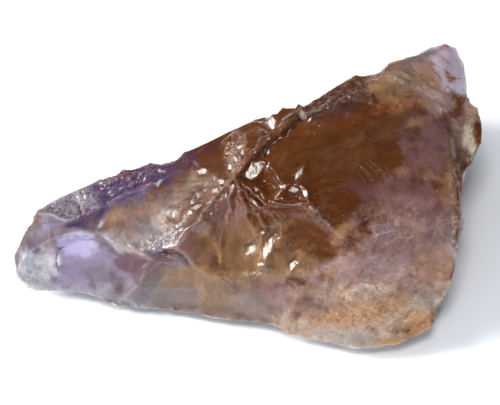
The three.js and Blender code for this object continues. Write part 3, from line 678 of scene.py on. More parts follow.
# Fine strokes in the quartz, in groups of one colour, with how strong it is. Each runs straight from one
# pixel to another, with its width in pixels.
STROKES = {
    "pale scratches": ((0.66, 0.50, 0.42, 1.0), 0.65, (
        ((373, 238), (383, 233), 1.0), ((382, 234), (397, 228), 0.9), ((373, 229), (376, 238), 0.8),
        ((437, 227), (441, 233), 0.9), ((440, 232), (446, 238), 1.0), ((65, 280), (71, 284), 0.8),
        ((420, 88), (437, 93), 0.8), ((436, 92), (452, 98), 0.9), ((372, 80), (380, 77), 1.2),
        ((439, 107), (440, 115), 1.2),
    )),
    "pale hairs": ((0.66, 0.48, 0.42, 1.0), 0.28, (
        ((405, 240), (418, 234), 0.7), ((411, 246), (421, 238), 0.7),
        ((383, 247), (392, 243), 0.8), ((388, 262), (399, 255), 0.8), ((398, 268), (409, 262), 0.7),
        ((352, 268), (361, 256), 0.8), ((358, 272), (364, 262), 0.7), ((364, 246), (370, 250), 0.9),
        ((401, 222), (409, 218), 0.6), ((419, 252), (429, 247), 0.7), ((426, 241), (432, 246), 0.7),
        ((392, 218), (402, 212), 0.6), ((411, 228), (420, 227), 0.6), ((376, 258), (381, 252), 0.7),
        ((344, 262), (350, 254), 0.8), ((396, 276), (407, 273), 0.7), ((424, 276), (432, 270), 0.6),
        ((330, 229), (339, 235), 0.9), ((336, 236), (350, 240), 0.6), ((367, 243), (362, 254), 0.7),
    )),
    "facet lines": ((0.55, 0.44, 0.38, 1.0), 0.28, (
        ((150, 259), (138, 272), 0.9), ((138, 272), (135, 286), 0.8), ((153, 293), (170, 288), 0.8),
        ((170, 288), (194, 290), 0.8), ((194, 290), (212, 308), 0.8), ((164, 256), (180, 259), 0.8),
        ((180, 259), (190, 266), 0.8), ((160, 262), (176, 264), 0.7), ((176, 264), (184, 272), 0.7),
        ((142, 278), (162, 262), 0.7), ((150, 295), (166, 278), 0.7), ((166, 278), (184, 274), 0.8),
        ((157, 286), (172, 272), 0.6), ((214, 292), (222, 310), 0.7), ((196, 276), (222, 272), 0.6),
        ((236, 296), (262, 302), 0.6), ((262, 302), (292, 304), 0.6), ((246, 310), (276, 318), 0.6),
    )),
    "faint ribs": ((0.50, 0.30, 0.18, 1.0), 0.22, (
        ((360, 166), (372, 179), 0.8), ((366, 163), (380, 178), 0.8), ((371, 162), (384, 178), 0.6),
        ((376, 163), (388, 180), 0.8), ((384, 164), (394, 184), 0.8), ((356, 170), (365, 182), 0.7),
        ((388, 170), (395, 186), 0.6), ((346, 148), (358, 143), 0.6), ((322, 172), (328, 168), 0.7),
        ((398, 130), (418, 124), 1.2), ((420, 126), (430, 120), 1.4), ((204, 231), (212, 243), 0.9),
        ((211, 242), (219, 258), 0.9), ((219, 256), (223, 270), 0.9),
    )),
    "folds of the lump": ((0.46, 0.26, 0.145, 1.0), 0.6, (
        ((396, 66), (412, 73), 1.2), ((404, 63), (424, 75), 1.2), ((412, 71), (434, 86), 1.4),
        ((420, 79), (445, 95), 1.4), ((400, 75), (420, 87), 1.2), ((426, 70), (440, 84), 1.2),
        ((388, 72), (400, 80), 1.0), ((433, 84), (447, 92), 1.6), ((424, 62), (436, 72), 1.0),
        ((408, 80), (426, 90), 1.0), ((438, 88), (446, 96), 1.2), ((440, 56), (452, 66), 0.9),
    )),
    "dark folds of the lump": ((0.15, 0.08, 0.055, 1.0), 0.5, (
        ((400, 69), (416, 77), 0.9), ((408, 67), (430, 80), 0.9), ((416, 76), (440, 92), 1.0),
        ((404, 78), (430, 92), 1.0), ((430, 68), (443, 82), 0.8), ((436, 46), (452, 45), 0.9),
        ((394, 74), (408, 82), 0.8), ((446, 84), (452, 94), 0.8), ((428, 60), (440, 68), 0.7),
    )),
    "rusty lines": ((0.33, 0.10, 0.04, 1.0), 0.85, (
        ((370, 114), (384, 111), 1.2), ((383, 111), (395, 111), 1.4), ((394, 111), (405, 105), 1.4),
        ((404, 105), (415, 102), 1.3), ((415, 102), (417, 97), 2.2), ((416, 98), (421, 98), 1.5),
        ((415, 102), (417, 107), 2.2), ((417, 107), (425, 107), 1.5),
        ((446, 70), (450, 74), 1.8), ((449, 77), (458, 78), 1.6), ((453, 144), (457, 147), 1.3),
        ((322, 300), (323, 305), 1.0), ((311, 315), (313, 317), 1.2), ((352, 324), (356, 326), 1.2),
        ((278, 308), (280, 310), 1.1), ((336, 319), (338, 321), 1.0),
    )),
    "rusty hairs": ((0.36, 0.14, 0.06, 1.0), 0.5, (
        ((416, 269), (424, 264), 0.8),
        ((423, 264), (428, 260), 0.8), ((428, 261), (443, 266), 0.8), ((432, 232), (437, 226), 0.8),
        ((444, 90), (449, 86), 1.0), ((338, 296), (346, 286), 0.8), ((345, 286), (356, 281), 0.8),
        ((340, 303), (343, 309), 0.7), ((154, 146), (158, 147), 1.0),
        ((400, 320), (412, 309), 0.8), ((366, 310), (384, 316), 0.8), ((348, 318), (362, 322), 0.8),
    )),
    # Dark cracks, with painted shade in the grooves, under the ledges and along the lower edge.
    "dark lines": ((0.06, 0.03, 0.022, 1.0), 0.75, (
        ((64, 247), (58, 252), 1.1), ((58, 252), (55, 262), 0.9), ((55, 262), (58, 271), 0.7),
        ((456, 170), (458, 176), 1.2), ((457, 190), (458, 204), 1.0), ((455, 208), (457, 214), 1.0),
        ((240, 185), (247, 196), 0.9), ((252, 205), (270, 210), 0.8), ((284, 189), (289, 198), 0.8),
        ((274, 210), (300, 208), 0.8), ((303, 209), (318, 221), 0.9), ((222, 276), (225, 280), 1.3),
        ((93, 296), (120, 308), 1.0), ((258, 150), (276, 138), 0.8), ((276, 138), (298, 119), 0.8),
        ((243, 158), (258, 142), 0.8), ((262, 160), (275, 176), 0.7), ((274, 176), (283, 188), 0.8),
    )),
}

# A stroke widens to its full width over this part of its length, from this share at the very end. No point is
# stored as farther away than this.
STROKE_ENDS = 1 / 4
THINNEST_END = 0.3
FARTHEST = 9.0

# How high and how strong the painted contact shadow is, a dark line along which the stone lies on the floor.
CONTACT_SHADE_HEIGHT = 0.25 * MM
CONTACT_SHADE_STRENGTH = 0.7


def strokes_at(strokes, carving):
    """How far the nearest stroke is: across it with a sign, in its own widths, and in pixels."""
    fields = np.tile((FARTHEST, FARTHEST, 0.0), (len(carving.pixels), 1))
    for start, end, width in strokes:
        start, along = np.array(start, float), np.subtract(end, start)
        away = carving.pixels - start
        share = np.clip(away @ along / (along @ along), 0, 1)
        distance = np.linalg.norm(away - share[:, None] * along, axis=1)
        taper = np.clip(np.minimum(share, 1 - share) / STROKE_ENDS, THINNEST_END, 1)
        across = (away[:, 0] * along[1] - away[:, 1] * along[0]) / np.linalg.norm(along) / (width * taper)
        nearer = (distance < fields[:, 1]) & (carving.facing > 0)
        fields[nearer] = np.column_stack((across, distance, distance))[nearer]
    return fields


def laid_over(mixed, colour, share):
    """The mixed colours with this one laid over them, as strongly as the share says at each point."""
    return mixed + (np.array(colour) - mixed) * share[:, None]


def colours_at(carving, colours):
    """Colour and clearness of the quartz at each point: its pools, its lines, and painted contact shadow."""
    points = carving.points
    strayed = carving.pixels + POOL_STRAY * stray_at(points, 3 * MM, (21, 34))
    wisps = [noise_at(points, WISP_SIZE, seed, octaves=6, smoothness=0.5) for seed in WISP_SEEDS]
    mixed = np.tile(np.array(colours.amber_brown), (len(points), 1))
    for i, (_, centre, radii, turn, name, strength) in enumerate(POOLS):
        share = patch(strayed, centre, radii, turn, POOL_SOFTNESS)
        share = np.clip(share + WISP_GAIN * share * (1.15 - share) * wisps[i % len(wisps)], 0, 1)
        mixed = laid_over(mixed, getattr(colours, name), strength * share)
    wavering = carving.pixels + LINE_STRAY * stray_at(points, 1 * MM, (4, 9))
    for _, path, width, name, strength in LINES:
        share = strength * np.exp(-((distance_to(path, wavering) / width) ** 2)) * carving.facing
        mixed = laid_over(mixed, getattr(colours, name), share)
    # Painted contact shadow: full up to the contact shade height, gone at twice that.
    low = np.clip(2 - points[:, 2] / (CONTACT_SHADE_HEIGHT * (1 + 0.5 * wisps[0])), 0, 1)
    return laid_over(mixed, colours.slate, CONTACT_SHADE_STRENGTH * low)


def distance_to(path, pixels):
    """The way in pixels from each pixel to the nearest point of a path."""
    nearest = np.full(len(pixels), np.inf)
    for start, end in zip(path, path[1:]):
        start, along = np.array(start, float), np.subtract(end, start)
        share = np.clip((pixels - start) @ along / (along @ along), 0, 1)
        nearest = np.minimum(nearest, np.linalg.norm(pixels - start - share[:, None] * along, axis=1))
    return nearest


def store(mesh, name, values):
    """Keeps one, three or four numbers for each point, under the name that the material reads."""
    kinds = {1: ("FLOAT", "value"), 3: ("FLOAT_VECTOR", "vector"), 4: ("FLOAT_COLOR", "color")}
    kind, field = kinds[values.size // len(mesh.vertices)]
    mesh.attributes.new(name, kind, "POINT").data.foreach_set(field, np.ravel(values))


def deselect_all():
    bpy.ops.object.select_all(action="DESELECT")


def make_active(piece):
    deselect_all()
    piece.select_set(True)
    bpy.context.view_layer.objects.active = piece


def apply_modifier(piece, kind, **settings):
    modifier = piece.modifiers.new(kind.title(), kind)
    for name, value in settings.items():
        setattr(modifier, name, value)
    make_active(piece)
    bpy.ops.object.modifier_apply(modifier=modifier.name)


def places_of(mesh):
    places = np.empty(len(mesh.vertices) * 3)
    mesh.vertices.foreach_get("co", places)
    return places.reshape(-1, 3)


def normals_of(mesh):
    normals = np.empty(len(mesh.vertices) * 3)
    mesh.vertex_normals.foreach_get("vector", normals)
    return normals.reshape(-1, 3)


def select_faces(mesh, chosen):
    """Selects the faces all of whose corners are chosen."""
    for polygon in mesh.polygons:
        polygon.select = all(chosen[i] for i in polygon.vertices)
    for edge in mesh.edges:
        edge.select = False
    for vertex in mesh.vertices:
        vertex.select = False
    for polygon in mesh.polygons:
        if polygon.select:
            for i in polygon.vertices:
                mesh.vertices[i].select = True


def copy_of_cad_stone():
    """The CAD stone as a new object, with its loose triangles joined, and mostly made quads."""
    stone = bpy.data.objects.new("quartz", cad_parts[CAD_NODE].data.copy())
    bpy.context.scene.collection.objects.link(stone)
    stone.data.materials.clear()
    make_active(stone)
    bpy.ops.object.mode_set(mode="EDIT")
    bpy.ops.mesh.select_mode(type="FACE")
    bpy.ops.mesh.select_all(action="SELECT")
    bpy.ops.mesh.remove_doubles(threshold=JOIN_DISTANCE)
    bpy.ops.object.mode_set(mode="OBJECT")

    # The foot is flat, so it needs few faces.
    select_faces(stone.data, places_of(stone.data)[:, 2] < FOOT_HEIGHT)
    bpy.ops.object.mode_set(mode="EDIT")
    bpy.ops.mesh.dissolve_limited(angle_limit=radians(2))
    bpy.ops.mesh.select_all(action="SELECT")
    bpy.ops.mesh.quads_convert_to_tris()
    bpy.ops.mesh.tris_convert_to_quads(face_threshold=radians(18), shape_threshold=radians(60))
    bpy.ops.object.mode_set(mode="OBJECT")
    return stone


def flow_together(stone):
    """Melts the ridges in the flowing zones, and gives the hub's surroundings finer faces."""
    places = places_of(stone.data)
    flowing = zones_at(FLOWING, pixels_of(places))
    flowing[places[:, 2] < CRISP_HEIGHT] = 0
    group = stone.vertex_groups.new(name="flowing")
    for i, weight in enumerate(flowing):
        group.add([i], weight, "REPLACE")
    crease_ridges(stone.data, flowing)
    apply_modifier(stone, "SMOOTH", factor=0.5, iterations=6, vertex_group="flowing")
    stone.vertex_groups.clear()

    carving = Carving(stone)
    near_hub = patch(carving.pixels, *FINE_ZONE) * carving.facing > FINE_SHARE
    select_faces(stone.data, near_hub)
    bpy.ops.object.mode_set(mode="EDIT")
    bpy.ops.mesh.subdivide(number_cuts=1)
    bpy.ops.object.mode_set(mode="OBJECT")


def crease_ridges(mesh, flowing):
    """Keeps the ridges outside the flowing zones crisp when the faces between them are rounded."""
    shape = bmesh.new()
    shape.from_mesh(mesh)
    creases = shape.edges.layers.float.new("crease_edge")
    for edge in shape.edges:
        if edge.calc_face_angle(0.0) > RIDGE_ANGLE:
            softness = max(flowing[corner.index] for corner in edge.verts)
            edge[creases] = RIDGE_CREASE * (1 - softness)
    shape.to_mesh(mesh)
    shape.free()


class Nodes:
    """Adds shader nodes to a material, each joined to the ones that it reads."""

    def __init__(self, material):
        self.tree = material.node_tree
        self.tree.nodes.clear()

    def add(self, kind, settings=None, **inputs):
        node = self.tree.nodes.new(kind)
        for name, value in (settings or {}).items():
            setattr(node, name, value)
        for name, value in inputs.items():
            self.fill(node.inputs[name.replace("_", " ")], value)
        return node

    def fill(self, socket, value):
        if isinstance(value, bpy.types.NodeSocket):
            self.tree.links.new(value, socket)
        else:
            socket.default_value = value

    def math(self, operation, *values):
        node = self.add("ShaderNodeMath", {"operation": operation})
        for socket, value in zip(node.inputs, values):
            self.fill(socket, value)
        return node.outputs[0]

    def times(self, first, second):
        return self.math("MULTIPLY", first, second)

    def highest(self, first, second):
        return self.math("MAXIMUM", first, second)

    def vector_math(self, operation, first, second, output="Vector"):
        node = self.add("ShaderNodeVectorMath", {"operation": operation})
        self.fill(node.inputs[0], first)
        self.fill(node.inputs[1], second)
        return node.outputs[output]

    def noise(self, vector, scale, detail, roughness, distortion=0.0):
        return self.add(
            "ShaderNodeTexNoise", Vector=vector, Scale=scale, Detail=detail, Roughness=roughness,
            Distortion=distortion,
        ).outputs["Fac"]

    def cells(self, vector, scale):
        return self.add("ShaderNodeTexVoronoi", {"feature": "F1"}, Vector=vector, Scale=scale).outputs

    def first_of(self, colour):
        return self.add("ShaderNodeSeparateColor", Color=colour).outputs[0]

    def dots(self, vector, scale, radius, share):
        """Round dots in this share of the cells of a pattern: 1 at a dot's middle and 0 outside."""
        cells = self.cells(vector, scale)
        chosen = self.math("LESS_THAN", self.first_of(cells["Color"]), share)
        return self.times(self.ramp(cells["Distance"], radius, radius / 2), chosen)

    def chips(self, vector, scale):
        """The height of small flat facets, each turned its own way, so many to the metre."""
        cells = self.cells(vector, scale)
        away = self.vector_math("SUBTRACT", vector, cells["Position"])
        turned = self.vector_math("SUBTRACT", cells["Color"], (0.5, 0.5, 0.5))
        return self.times(self.vector_math("DOT_PRODUCT", away, turned, "Value"), scale)

    def ramp(self, value, low, high, to_low=0.0, to_high=1.0):
        """Runs smoothly from to_low to to_high while the value runs from low to high, or down to high."""
        if low > high:
            low, high, to_low, to_high = high, low, to_high, to_low
        node = self.add("ShaderNodeMapRange", {"interpolation_type": "SMOOTHSTEP"}, Value=value)
        for name, number in {"From Min": low, "From Max": high, "To Min": to_low, "To Max": to_high}.items():
            node.inputs[name].default_value = number
        return node.outputs[0]

    def mix(self, share, first, second, blend="MIX"):
        node = self.add("ShaderNodeMix", {"data_type": "RGBA", "blend_type": blend})
        for place, value in ((0, share), (6, first), (7, second)):
            self.fill(node.inputs[place], value)
        return node.outputs[2]

    def stretched(self, vector, turn, length, width, seed=0.0):
        """Coordinates whose patterns have lumps this long and wide, turned this far from the X axis."""
        return self.add(
            "ShaderNodeMapping", {"vector_type": "TEXTURE"}, Vector=vector, Location=(seed, seed, seed),
            Rotation=(0.0, 0.0, turn), Scale=(length, width, width),
        ).outputs[0]

    def threads(self, vector, scale, width):
        """Long thin curved lines, where a slow pattern passes through its middle."""
        slow = self.noise(vector, scale, 1.0, 0.4)
        return self.ramp(self.math("ABSOLUTE", self.math("SUBTRACT", slow, 0.5)), width, width / 4)

    def stroke(self, name, waver):
        """1 along the strokes of this name and 0 beside them, which waver by this share of their width."""
        fields = self.add("ShaderNodeSeparateXYZ", Vector=self.attribute(name, "Vector"))
        side = self.math("ABSOLUTE", self.math("ADD", fields.outputs["X"], waver))
        return self.times(self.ramp(side, 1.3, 0.4), self.ramp(fields.outputs["Y"], 3.0, 1.5))

    def attribute(self, name, output="Fac"):
        return self.add("ShaderNodeAttribute", {"attribute_name": name}).outputs[output]


# The patterns of the quartz: how many lumps to the metre, or to the unit of the coordinates that they are
# given, with their detail, roughness and distortion.
PATTERNS = {
    "clouds": (420.0, 7.0, 0.62, 0.8),
    "mottles": (1100.0, 4.0, 0.6, 1.6),
    "grain": (5200.0, 3.0, 0.6),
    "streaks": (2.0, 6.0, 0.62, 0.3),
    "flecks": (560.0, 6.0, 0.68, 0.6),
    "tan drifts": (1.0, 8.0, 0.7, 1.2),
    "dust": (620.0, 8.0, 0.72, 0.4),
    "hairs": (1.0, 3.0, 0.5, 1.0),
    "hair drifts": (500.0, 3.0, 0.6),
    "crushed drifts": (900.0, 2.0, 0.5),
    "waver": (900.0, 1.0, 0.5),
    "crumbs": (2600.0, 2.0, 0.5),
    "ripples": (380.0, 2.0, 0.4, 0.8),
    "hackles": (2.0, 2.0, 0.5, 0.2),
    "flutes": (1.0, 2.0, 0.5, 0.3),
}

# The shades that the patterns lay over the pools.
PALE_RIDGE = (0.46, 0.43, 0.43, 1.0)
# Painted shade in the grooves.
GROOVE_SHADE = (0.05, 0.02, 0.012, 1.0)
LILAC_FLECK = (0.42, 0.28, 0.36, 1.0)
TAN_FLECK = (0.50, 0.30, 0.18, 1.0)
TAN_DRIFT = (0.40, 0.20, 0.085, 1.0)
PALE_DUST = (0.85, 0.85, 0.85, 1.0)
TAN_DUST = (0.50, 0.34, 0.24, 1.0)
RUST_SPECK = (0.30, 0.09, 0.02, 1.0)
PALE_HAIR = (0.62, 0.46, 0.42, 1.0)
# Pale specks, partly painted glints.
PALE_SPECK_AND_GLINT = (0.72, 0.62, 0.54, 1.0)
# Painted glints and painted shade on the crushed facets.
PAINTED_FACET_GLINT = (0.55, 0.47, 0.44, 1.0)
PAINTED_FACET_SHADE = (0.05, 0.025, 0.018, 1.0)

# How the streaks and the hackles are drawn out along the flow, and the flutes along their length.
STREAKS_IN_FLOW = (5.0, 1.6, 1.0)
HACKLES_IN_FLOW = (14.0, 1.5, 1.0)
FLUTE_TURN = 0.9
FLUTES_TO_THE_METRE = (3000.0, 500.0, 1500.0)


class QuartzNodes(Nodes):
    """The nodes of the quartz: its colour, which each step lays a pattern over, its relief and its gloss."""

    def __init__(self, material):
        super().__init__(material)
        self.place = self.add("ShaderNodeTexCoord").outputs["Object"]
        self.flow = self.attribute("flow", "Vector")
        self.sugar = self.attribute("sugar")
        self.veil = self.attribute("veil")
        self.scar = self.attribute("scar")
        self.unrest = self.math("SUBTRACT", 1.0, self.attribute("calm"))
        self.colour = self.attribute("colour", "Color")
        self.clouds = self.ramp(self.pattern("clouds"), 0.25, 0.75, 0.3, 0.75)
        self.crumbs = self.pattern("crumbs")
        turn = (0.0, 0.0, FLUTE_TURN)
        along = self.add("ShaderNodeMapping", Vector=self.place, Rotation=turn, Scale=FLUTES_TO_THE_METRE)
        self.flutes = self.pattern("flutes", along.outputs[0])

    def pattern(self, name, vector=None):
        return self.noise(self.place if vector is None else vector, *PATTERNS[name])

    def in_flow(self, name, scales):
        return self.pattern(name, self.vector_math("MULTIPLY", self.flow, scales))

    def lay(self, share, shade, blend="MIX"):
        """Lays a shade over the colour, as strongly as the share says."""
        self.colour = self.mix(share, self.colour, shade, blend)

    def lay_clouds(self):
        """The colour of the pools in drifts, streaks and grains, with pale ridges and painted shade in
        grooves.
        """
        mottles = self.ramp(self.pattern("mottles"), 0.28, 0.72, 0.32, 0.72)
        grain = self.ramp(self.pattern("grain"), 0.25, 0.75, 0.3, 0.7)
        busy = self.ramp(self.highest(self.veil, self.sugar), 0.0, 1.0, 0.25, 0.5)
        grainy = self.ramp(self.sugar, 0.0, 1.0, 0.12, 0.6)
        self.lay(self.times(self.unrest, 0.55), self.clouds, "OVERLAY")
        self.lay(self.times(self.unrest, 0.45), self.in_flow("streaks", STREAKS_IN_FLOW), "OVERLAY")
        self.lay(self.times(self.unrest, busy), mottles, "OVERLAY")
        self.lay(self.times(self.unrest, grainy), grain, "OVERLAY")
        ridge = self.attribute("ridge")
        self.lay(self.ramp(ridge, 0.05, 0.35, 0.0, 0.12), PALE_RIDGE)
        # Painted shade where the surface is hollow.
        self.lay(self.ramp(ridge, -0.03, -0.3, 0.0, 0.6), GROOVE_SHADE)

    def lay_flecks(self):
        """Cloudy lilac and tan flecks where the quartz is veiled, and long drawn-out drifts of tan."""
        for seed, shade in ((3.0, LILAC_FLECK), (9.0, TAN_FLECK)):
            moved = self.add("ShaderNodeMapping", Vector=self.place, Location=(seed, seed, seed)).outputs[0]
            fleck = self.ramp(self.pattern("flecks", moved), 0.5, 0.66, 0.0, 0.6)
            self.lay(self.times(fleck, self.times(self.veil, self.unrest)), shade)
        drawn_out = self.stretched(self.place, turn=0.5, length=3.6 * MM, width=1.5 * MM)
        drift = self.ramp(self.pattern("tan drifts", drawn_out), 0.5, 0.68, 0.0, 0.5)
        self.lay(self.times(drift, self.unrest), TAN_DRIFT)

    def lay_dust(self):
        """Pale dust in drifts, and tan dust where the quartz is veiled."""
        dusty = self.ramp(self.pattern("dust"), 0.52, 0.74)
        self.lay(self.times(dusty, 0.5), PALE_DUST, "OVERLAY")
        self.lay(self.times(dusty, self.times(self.veil, 0.3)), TAN_DUST)

    def lay_hairs(self):
        """Pale hairs across each other in drifts, where the quartz is veiled. Returns their share."""
        long = self.threads(self.place, scale=190.0, width=0.004)
        short = self.threads(self.place, scale=340.0, width=0.007)
        hairs = self.highest(long, short)
        for turn, seed in ((0.7, 0.0), (-0.9, 4.0), (0.1, 7.0)):
            laid = self.stretched(self.place, turn, length=2.2 * MM, width=0.24 * MM, seed=seed)
            hairs = self.highest(hairs, self.ramp(self.pattern("hairs", laid), 0.6, 0.7))
        drifts = self.ramp(self.pattern("hair drifts"), 0.42, 0.6)
        share = self.times(self.times(hairs, drifts), self.ramp(self.veil, 0.0, 1.0, 0.02, 0.4))
        self.lay(share, PALE_HAIR)
        return share

    def lay_specks(self):
        """Pale specks, partly inclusions and partly painted glints, and specks of rust where it is sugary."""
        large = self.dots(self.place, scale=900.0, radius=0.09, share=0.2)
        small = self.dots(self.place, scale=1900.0, radius=0.14, share=0.15)
        self.lay(self.times(self.highest(large, small), 0.6), PALE_SPECK_AND_GLINT)
        finest = self.dots(self.place, scale=2600.0, radius=0.25, share=0.35)
        rusty = self.times(finest, self.ramp(self.sugar, 0.2, 0.7, 0.0, 0.4))
        self.lay(self.times(rusty, self.ramp(self.clouds, 0.45, 0.6)), RUST_SPECK)

    def lay_facet_glints_and_shade(self):
        """Painted glints and shade on the crushed zones' facets, each facet lighter or darker at random."""
        facet = self.first_of(self.cells(self.place, 4600.0)["Color"])
        drifts = self.ramp(self.pattern("crushed drifts"), 0.35, 0.6)
        broken = self.times(self.attribute("crushed"), drifts)
        self.lay(self.times(broken, self.ramp(facet, 0.65, 0.95, 0.0, 0.5)), PAINTED_FACET_GLINT)
        self.lay(self.times(broken, self.ramp(facet, 0.4, 0.05, 0.0, 0.4)), PAINTED_FACET_SHADE)

    def lay_strokes(self):
        """The fine strokes, in lines that waver a little. Returns each group's share."""
        waver = self.ramp(self.pattern("waver"), 0.0, 1.0, -2.0, 2.0)
        shares = {name: self.stroke(name, waver) for name in STROKES}
        for name, (shade, strength, _) in STROKES.items():
            self.lay(self.times(shares[name], strength), shade)
        return shares

    def relief(self, strokes):
        """The relief that is too fine for the mesh: crumbs and tiny facets, ripples, hackles and flutes."""
        large, small = self.chips(self.place, 2300.0), self.chips(self.place, 5600.0)
        grains = self.math("MULTIPLY_ADD", large, 1.5, small)
        sugary = self.times(self.math("MULTIPLY_ADD", self.crumbs, 0.6, grains), self.sugar)
        hackles = self.times(self.in_flow("hackles", HACKLES_IN_FLOW), self.attribute("hackles"))
        height = self.math("MULTIPLY_ADD", hackles, 0.3, sugary)
        height = self.math("MULTIPLY_ADD", self.pattern("ripples"), 0.8, height)
        height = self.math("MULTIPLY_ADD", strokes["pale scratches"], 0.25, height)
        height = self.math("MULTIPLY_ADD", strokes["faint ribs"], 0.07, height)
        height = self.times(height, self.ramp(self.scar, 0.0, 1.0, 1.0, 0.3))
        height = self.math("MULTIPLY_ADD", self.flutes, self.times(self.scar, 0.3), height)
        bump = self.add("ShaderNodeBump", Height=height, Strength=0.7, Distance=0.12 * MM)
        return bump.outputs["Normal"]

    def roughness(self):
        """Glossy on the fracture faces, glossier in the scars, and rough where it is sugary or dull."""
        polish = self.ramp(self.crumbs, 0.4, 0.7, 0.05, 0.14)
        fluted = self.ramp(self.flutes, 0.4, 0.62, 0.05, 0.2)
        polish = self.math("MULTIPLY_ADD", self.scar, fluted, polish)
        unpolished = self.math("MULTIPLY_ADD", self.sugar, 0.45, self.attribute("dull"))
        return self.math("MULTIPLY_ADD", unpolished, self.ramp(self.scar, 0.0, 0.8, 0.4, 0.13), polish)

    def clearness(self, hairs):
        """The clearness of the pools, less where it is sugary or where hairs lie."""
        cloudy = self.highest(self.times(self.sugar, 0.5), hairs)
        return self.times(self.attribute("colour", "Alpha"), self.math("SUBTRACT", 1.0, cloudy))


def quartz_material(settings):
    """Clear to cloudy quartz, coloured by its pools, glossy on its faces and rough where it is sugary."""
    material = bpy.data.materials.new("quartz")
    material.use_nodes = True
    nodes = QuartzNodes(material)
    nodes.lay_clouds()
    nodes.lay_flecks()
    nodes.lay_dust()
    hairs = nodes.lay_hairs()
    nodes.lay_specks()
    nodes.lay_facet_glints_and_shade()
    strokes = nodes.lay_strokes()
    shader = nodes.add(
        "ShaderNodeBsdfPrincipled",
        Base_Color=nodes.colour,
        Roughness=nodes.roughness(),
        Normal=nodes.relief(strokes),
        IOR=settings.refraction,
        Transmission_Weight=nodes.clearness(hairs),
        Subsurface_Weight=settings.cloudiness,
        Subsurface_Radius=(1.0, 1.0, 1.0),
        Subsurface_Scale=settings.scatter,
    )
    inside = nodes.add("ShaderNodeVolumeAbsorption", Color=(*settings.inside, 1.0), Density=settings.depth)
    nodes.add("ShaderNodeOutputMaterial", Surface=shader.outputs[0], Volume=inside.outputs[0])
    return material


def colour_property(name, colour, clearness):
    return FloatVectorProperty(
        name=name, description=f"Quartz where it is {name.lower()}: its colour, and as alpha its clearness",
        subtype="COLOR", size=4, min=0.0, max=1.0, default=(*colour, clearness),
    )


def length_property(name, description, default):
    return FloatProperty(
        name=name, description=description, subtype="DISTANCE", unit="LENGTH", default=default, min=0.0,
    )


def power_property(name, description, default):
    return FloatProperty(name=name, description=description, unit="POWER", default=default, min=0.0)


class QuartzColours(bpy.types.PropertyGroup):
    """The colours that lie in pools in the stone, and the dark of the painted shade."""

    amber_brown: colour_property("Amber brown", (0.185, 0.046, 0.004), 0.55)
    brown: colour_property("Brown", (0.2, 0.053, 0.006), 0.5)
    tawny: colour_property("Tawny", (0.212, 0.066, 0.011), 0.6)
    mulberry: colour_property("Mulberry", (0.255, 0.135, 0.16), 0.5)
    umber: colour_property("Umber", (0.12, 0.045, 0.02), 0.2)
    chestnut: colour_property("Chestnut", (0.4, 0.21, 0.094), 0.55)
    tan: colour_property("Tan", (0.22, 0.117, 0.062), 0.4)
    amber: colour_property("Amber", (0.39, 0.205, 0.088), 0.45)
    orange: colour_property("Orange", (0.45, 0.24, 0.115), 0.25)
    rust: colour_property("Rust", (0.34, 0.09, 0.035), 0.2)
    sand: colour_property("Sand", (0.5, 0.355, 0.25), 0.3)
    cream: colour_property("Cream", (0.72, 0.58, 0.44), 0.1)
    bone: colour_property("Bone", (0.49, 0.42, 0.365), 0.3)
    smoke: colour_property("Smoke", (0.37, 0.28, 0.24), 0.45)
    maroon: colour_property("Maroon", (0.135, 0.055, 0.04), 0.5)
    dark_umber: colour_property("Dark umber", (0.07, 0.027, 0.015), 0.5)
    clay: colour_property("Clay", (0.38, 0.265, 0.21), 0.3)
    grey: colour_property("Grey", (0.42, 0.41, 0.45), 0.4)
    # The dark of the painted shade along the outline, the lower edge and the foot.
    slate: colour_property("Slate", (0.07, 0.06, 0.064), 0.03)
    tan_rose: colour_property("Tan rose", (0.42, 0.24, 0.145), 0.4)
    lilac_grey: colour_property("Lilac grey", (0.24, 0.185, 0.2), 0.45)
    violet: colour_property("Violet", (0.185, 0.135, 0.215), 0.5)
    deep_violet: colour_property("Deep violet", (0.1, 0.05, 0.142), 0.6)
    grey_violet: colour_property("Grey violet", (0.24, 0.21, 0.255), 0.5)
    plum: colour_property("Plum", (0.33, 0.165, 0.155), 0.5)
    mauve: colour_property("Mauve", (0.53, 0.345, 0.305), 0.4)
    lilac: colour_property("Lilac", (0.46, 0.385, 0.53), 0.4)
    lavender: colour_property("Lavender", (0.84, 0.74, 0.9), 0.2)
    pale_lavender: colour_property("Pale lavender", (0.66, 0.6, 0.86), 0.3)
    frost: colour_property("Frost", (0.64, 0.645, 0.68), 0.3)


class QuartzSettings(bpy.types.PropertyGroup):
    """How the quartz lets light through, and how its surface is finished."""

    cloudiness: FloatProperty(
        name="Cloudiness", description="Share of the light in cloudy quartz that scatters just inside",
        default=1.0, min=0.0, max=1.0,
    )
    scatter: length_property("Scatter", "How far the scattered light wanders in cloudy quartz", 1.6 * MM)
    refraction: FloatProperty(
        name="Refraction", description="Refractive index of quartz", default=1.544, min=1.0, max=2.0,
    )
    inside: FloatVectorProperty(
        name="Inside", description="Colour that is left of light that crosses the stone",
        subtype="COLOR", size=3, min=0.0, max=1.0, default=(0.8, 0.62, 0.52),
    )
    depth: FloatProperty(name="Depth", description="Absorption for each metre", default=100.0, min=0.0)
    sugar_height: length_property("Sugar height", "How far the sugary crumbs stand out", 0.16 * MM)
    crush_height: length_property(
        "Crush height", "How far the small facets of the crushed zones are tilted", 0.32 * MM
    )
    rugged_height: length_property("Rugged height", "How far the chipped edges stand out and in", 0.12 * MM)
    wave_height: length_property("Wave height", "How far the fracture faces swell and sink", 0.07 * MM)
    ripple_height: length_property("Ripple height", "How far the ripples of the back stand out", 0.09 * MM)
    hackle_height: length_property("Hackle height", "How far the hackles stand out", 0.10 * MM)


